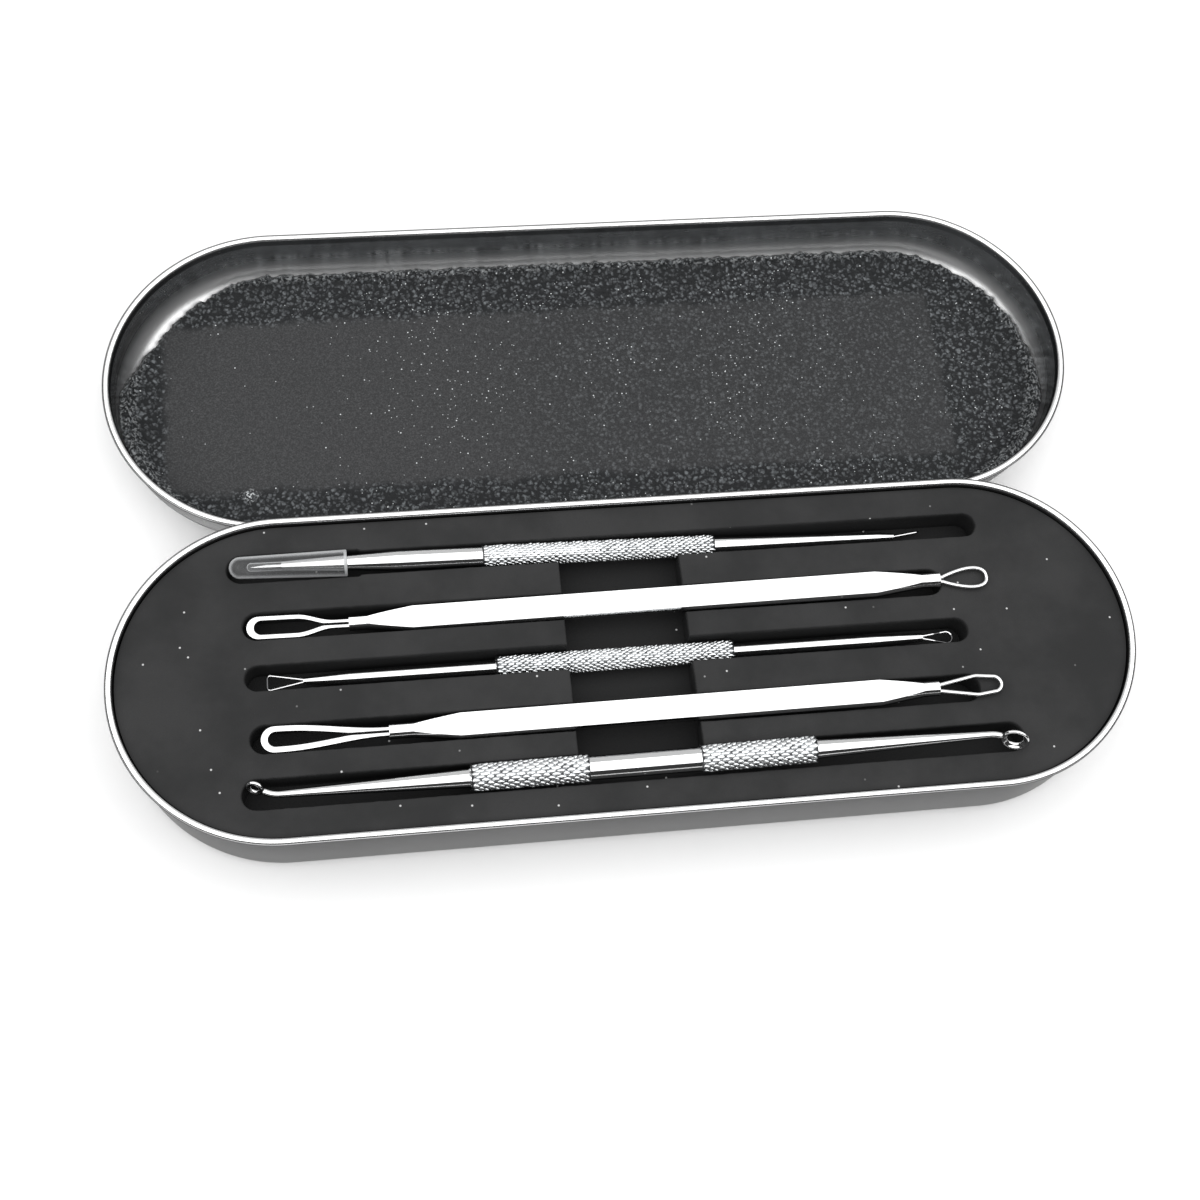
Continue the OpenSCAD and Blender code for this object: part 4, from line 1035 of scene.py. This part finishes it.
def tool_piece(name, part, tool, node, material, slot="polished_steel", angle=40):
    finished(plain(name, moved(part, laid(tool)), angle), [material], slot, tool["body"], node)


def bar_tool(tool, name, half, back, front, flat, wire):
    """A flat bar with a ribbon loop at its left end and a wire loop at its right end."""
    tool_piece(name + "_bar_turned", flat_bar(half, *back, *front), tool, name + "_bar", STEEL, angle=25)
    flat = moved(flat, at_left(half + back[0] + back[1]))
    tool_piece(name + "_ribbon", flat, tool, name + "_ribbon_loop", STEEL)
    wire = moved(wire, at_right(half + front[0] + front[1]))
    tool_piece(name + "_wire", wire, tool, name + "_wire_loop", STEEL)


def lancet_tool():
    half, back_l, taper_l, front_l, nose_l = GRIP_L / 2, 14.1, 19.0, 29.2, 2.8
    back_r, taper_r, front_r, front_end_r, nose_r = 1.675, 0.7, 1.45, 0.875, 0.575
    back_end, front_end = half + back_l + taper_l, half + front_l + nose_l
    rod = [(-back_end, taper_r), (-half - back_l, back_r), (0, back_r), (0, front_r), (half, front_r),
           (half + front_l, front_end_r), (front_end, nose_r)]
    tool_piece("lancet_rod_turned", turned(softened(rod)), LANCET, "lancet_rod", STEEL)
    knurled_grip("lancet_grip", LANCET, -half)
    needle_tip, point_l, needle_r = back_end + 5.0, 2.4, 0.4
    needle = turned([(-needle_tip, 0.02), (-needle_tip + point_l, needle_r), (-back_end + 3.0, needle_r)], 24)
    tool_piece("lancet_needle_ground", needle, LANCET, "lancet_needle", STEEL)
    loop = moved(teardrop_wire(4.8, 2.2), at_right(front_end) @ (spin(9, "Z") @ spin(114, "X")))
    tool_piece("lancet_loop_wire", loop, LANCET, "lancet_loop", STEEL)

    cap_l, cap_end_t, cap_r, cap_clear = 19.2, 2.9, 1.8, 0.03
    cap_end = needle_tip + point_l / 4 + cap_end_t
    mouth = cap_end - cap_l
    hollow = -cap_end + cap_end_t
    # The cap sits on the rod's taper, whose radius at the mouth is this.
    mouth_r = taper_r + (back_r - taper_r) * (back_end - mouth) / taper_l
    outer = [(-cap_end + cap_r - cap_r * cos(a), cap_r * sin(a))
             for a in np.linspace(0.12, pi / 2, 10)]
    outer += [(-mouth - 0.25, 2.24), (-mouth - 0.08, 2.21), (-mouth, 2.08)]
    inner = [(-mouth, mouth_r + 0.12), (-mouth - 0.2, mouth_r + cap_clear), (-back_end, taper_r + cap_clear),
             (hollow + 0.5, 0.73), (hollow + 0.15, 0.5), (hollow, 0.2)]
    cap = turned(outer + inner, start=-cap_end)
    tool_piece("lancet_cap_clear", cap, LANCET, "lancet_cap", clear_cap(), "clear_cap")


def fine_tool():
    half, straight_l, back_taper, front_taper = GRIP_L / 2, 24, 7.3, 8.7
    rod_r, back_tip_r, front_tip_r = 1.1, 0.575, 0.7
    back_end, front_end = half + straight_l + back_taper, half + straight_l + front_taper
    rod = [(-back_end, back_tip_r), (-half - straight_l, rod_r), (half + straight_l, rod_r),
           (front_end, front_tip_r)]
    tool_piece("fine_rod_turned", turned(softened(rod, 0.5)), FINE, "fine_rod", STEEL)
    knurled_grip("fine_grip", FINE, -half)
    loops = loop_steel()
    triangle = moved(triangle_wire(6.0, 2.9, 0.5), at_left(back_end))
    tool_piece("fine_triangle_wire", triangle, FINE, "fine_triangle_loop", loops)
    wire = moved(teardrop_wire(5.4, 2.4), at_right(front_end) @ spin(-4, "Z"))
    tool_piece("fine_round_wire", wire, FINE, "fine_round_loop", loops)


def scoop_tool():
    inner, grip_l = 9.0, 18.8
    outer = inner + grip_l
    middle = inner + grip_l / 2
    rod_r, taper_r, neck_r = 1.95, 1.55, 0.55
    back_end, front_end = outer + 29.9, outer + 29.0
    rod = [(-back_end, neck_r), (-outer, taper_r), (-middle, taper_r), (-middle, rod_r), (middle, rod_r),
           (middle, taper_r), (outer, taper_r), (front_end, neck_r)]
    small = moved(bent_eye(roll=-60, bend=30, turn=127, outer_d=3.0, hole_d=1.2), at_left(back_end))
    large = moved(bent_eye(roll=86, bend=21, turn=-15, outer_d=4.7, hole_d=2.5), at_right(front_end))
    tool_piece("scoop_rod_turned", merged(turned(softened(rod)), small, large), SCOOP, "scoop_rod", STEEL)
    for node, start in (("scoop_left_grip", -outer), ("scoop_right_grip", inner)):
        knurled_grip(node, SCOOP, start, grip_l, diameter=4.6, around=12, pitch=0.8)


def camera():
    made = added("camera", bpy.data.cameras.new("camera"))
    yaw, pitch, roll = (radians(a) for a in (CAMERA_YAW, CAMERA_PITCH, CAMERA_ROLL))
    forward = Vector((sin(yaw) * cos(pitch), cos(yaw) * cos(pitch), -sin(pitch)))
    right = Vector((cos(yaw), -sin(yaw), 0.0))
    up = right.cross(forward)
    right, up = cos(roll) * right + sin(roll) * up, -sin(roll) * right + cos(roll) * up
    turn = Matrix((right, up, -forward)).transposed().to_4x4()
    made.matrix_world = Matrix.Translation(Vector(CAMERA_PLACE) * MM) @ turn
    made.data.sensor_width = SENSOR_W
    made.data.sensor_fit = "HORIZONTAL"
    made.data.lens = SENSOR_W * FOCAL_PIXELS / PHOTO_SIZE
    made.data.clip_start, made.data.clip_end = 0.01, 10.0
    bpy.context.scene.camera = made


def softbox(name, place, target, size, power):
    data = bpy.data.lights.new(name, "AREA")
    data.shape = "RECTANGLE"
    data.size, data.size_y = size
    data.energy = power
    made = added(name, data)
    made.location = place
    made.rotation_mode = "QUATERNION"
    made.rotation_quaternion = (Vector(target) - Vector(place)).to_track_quat("-Z", "Y")


def stage():
    """A pale table, two softboxes and a dark studio. Lengths in metres, power in watts."""
    mesh = bpy.data.meshes.new("table_top")
    mesh.from_pydata([(-3, -3, 0), (3, -3, 0), (3, 3, 0), (-3, 3, 0)], [], [[0, 1, 2, 3]])
    mesh.materials.append(Shader("table_top").surface((0.84, 0.84, 0.84), 0.6))
    added("table_top", mesh)
    world = bpy.data.worlds.new("studio")
    world.use_nodes = True
    background = world.node_tree.nodes["Background"].inputs
    background["Color"].default_value, background["Strength"].default_value = (1, 1, 1, 1), 0.045
    bpy.context.scene.world = world
    bpy.context.scene.view_settings.view_transform = "Standard"
    softbox("overhead", place=(0, -0.175, 1.0), target=(0, -0.175, 0), size=(4.0, 1.85), power=48)
    softbox("back", place=(0, 1.65, 0.5), target=(0, 0.65, -1.25), size=(4.0, 2.0), power=17)


camera()
TIN, STEEL, FOAM, SPONGE = tinplate(), polished_steel(), tray_foam(), lid_sponge()
PAD_STEEL = knurl_steel("knurled_steel", 3.0, (0.80, 0.815, 0.825), (0.55, 0.565, 0.575),
                        rough=0.16, more_rough=0.12, bump=(0.04, 0.3))
# Painted shade: the steel at the bottom of the knurl's grooves is nearly black.
GROOVE_PAINTED_SHADE = knurl_steel("knurl_groove", 4.0, (0.10, 0.105, 0.11), (0.035, 0.037, 0.04),
                           rough=0.35, more_rough=0.15, bump=(0.05, 0.4))
KNURL, KNURL_IDS = knurl_tree()
base_tin()
lid_tin()
tray_layer()
tray_block()
lid_sheet()
lancet_tool()
bar_tool(TEARDROP, "teardrop", half=39.0, back=(7.5, 2.9), front=(8.0, 3.1),
         flat=ribbon(length=16.6, wide=4.1, neck=2.4, flare=6.2, side_w=0.85, end_w=1.3, bend=3.0),
         wire=egg_wire(length=8.6, width=4.2, legs=0.85))
fine_tool()
bar_tool(LONG, "long", half=34.5, back=(7.6, 3.8), front=(7.4, 2.5),
         flat=ribbon(length=20.3, wide=4.5, neck=0.0, flare=17.0, side_w=1.05, end_w=1.2, bend=1.5),
         wire=cornered_wire(length=11.1, width=4.0, corner_at=6.6, end_w=3.35, legs=1.0, corner=1.6))
scoop_tool()
stage()
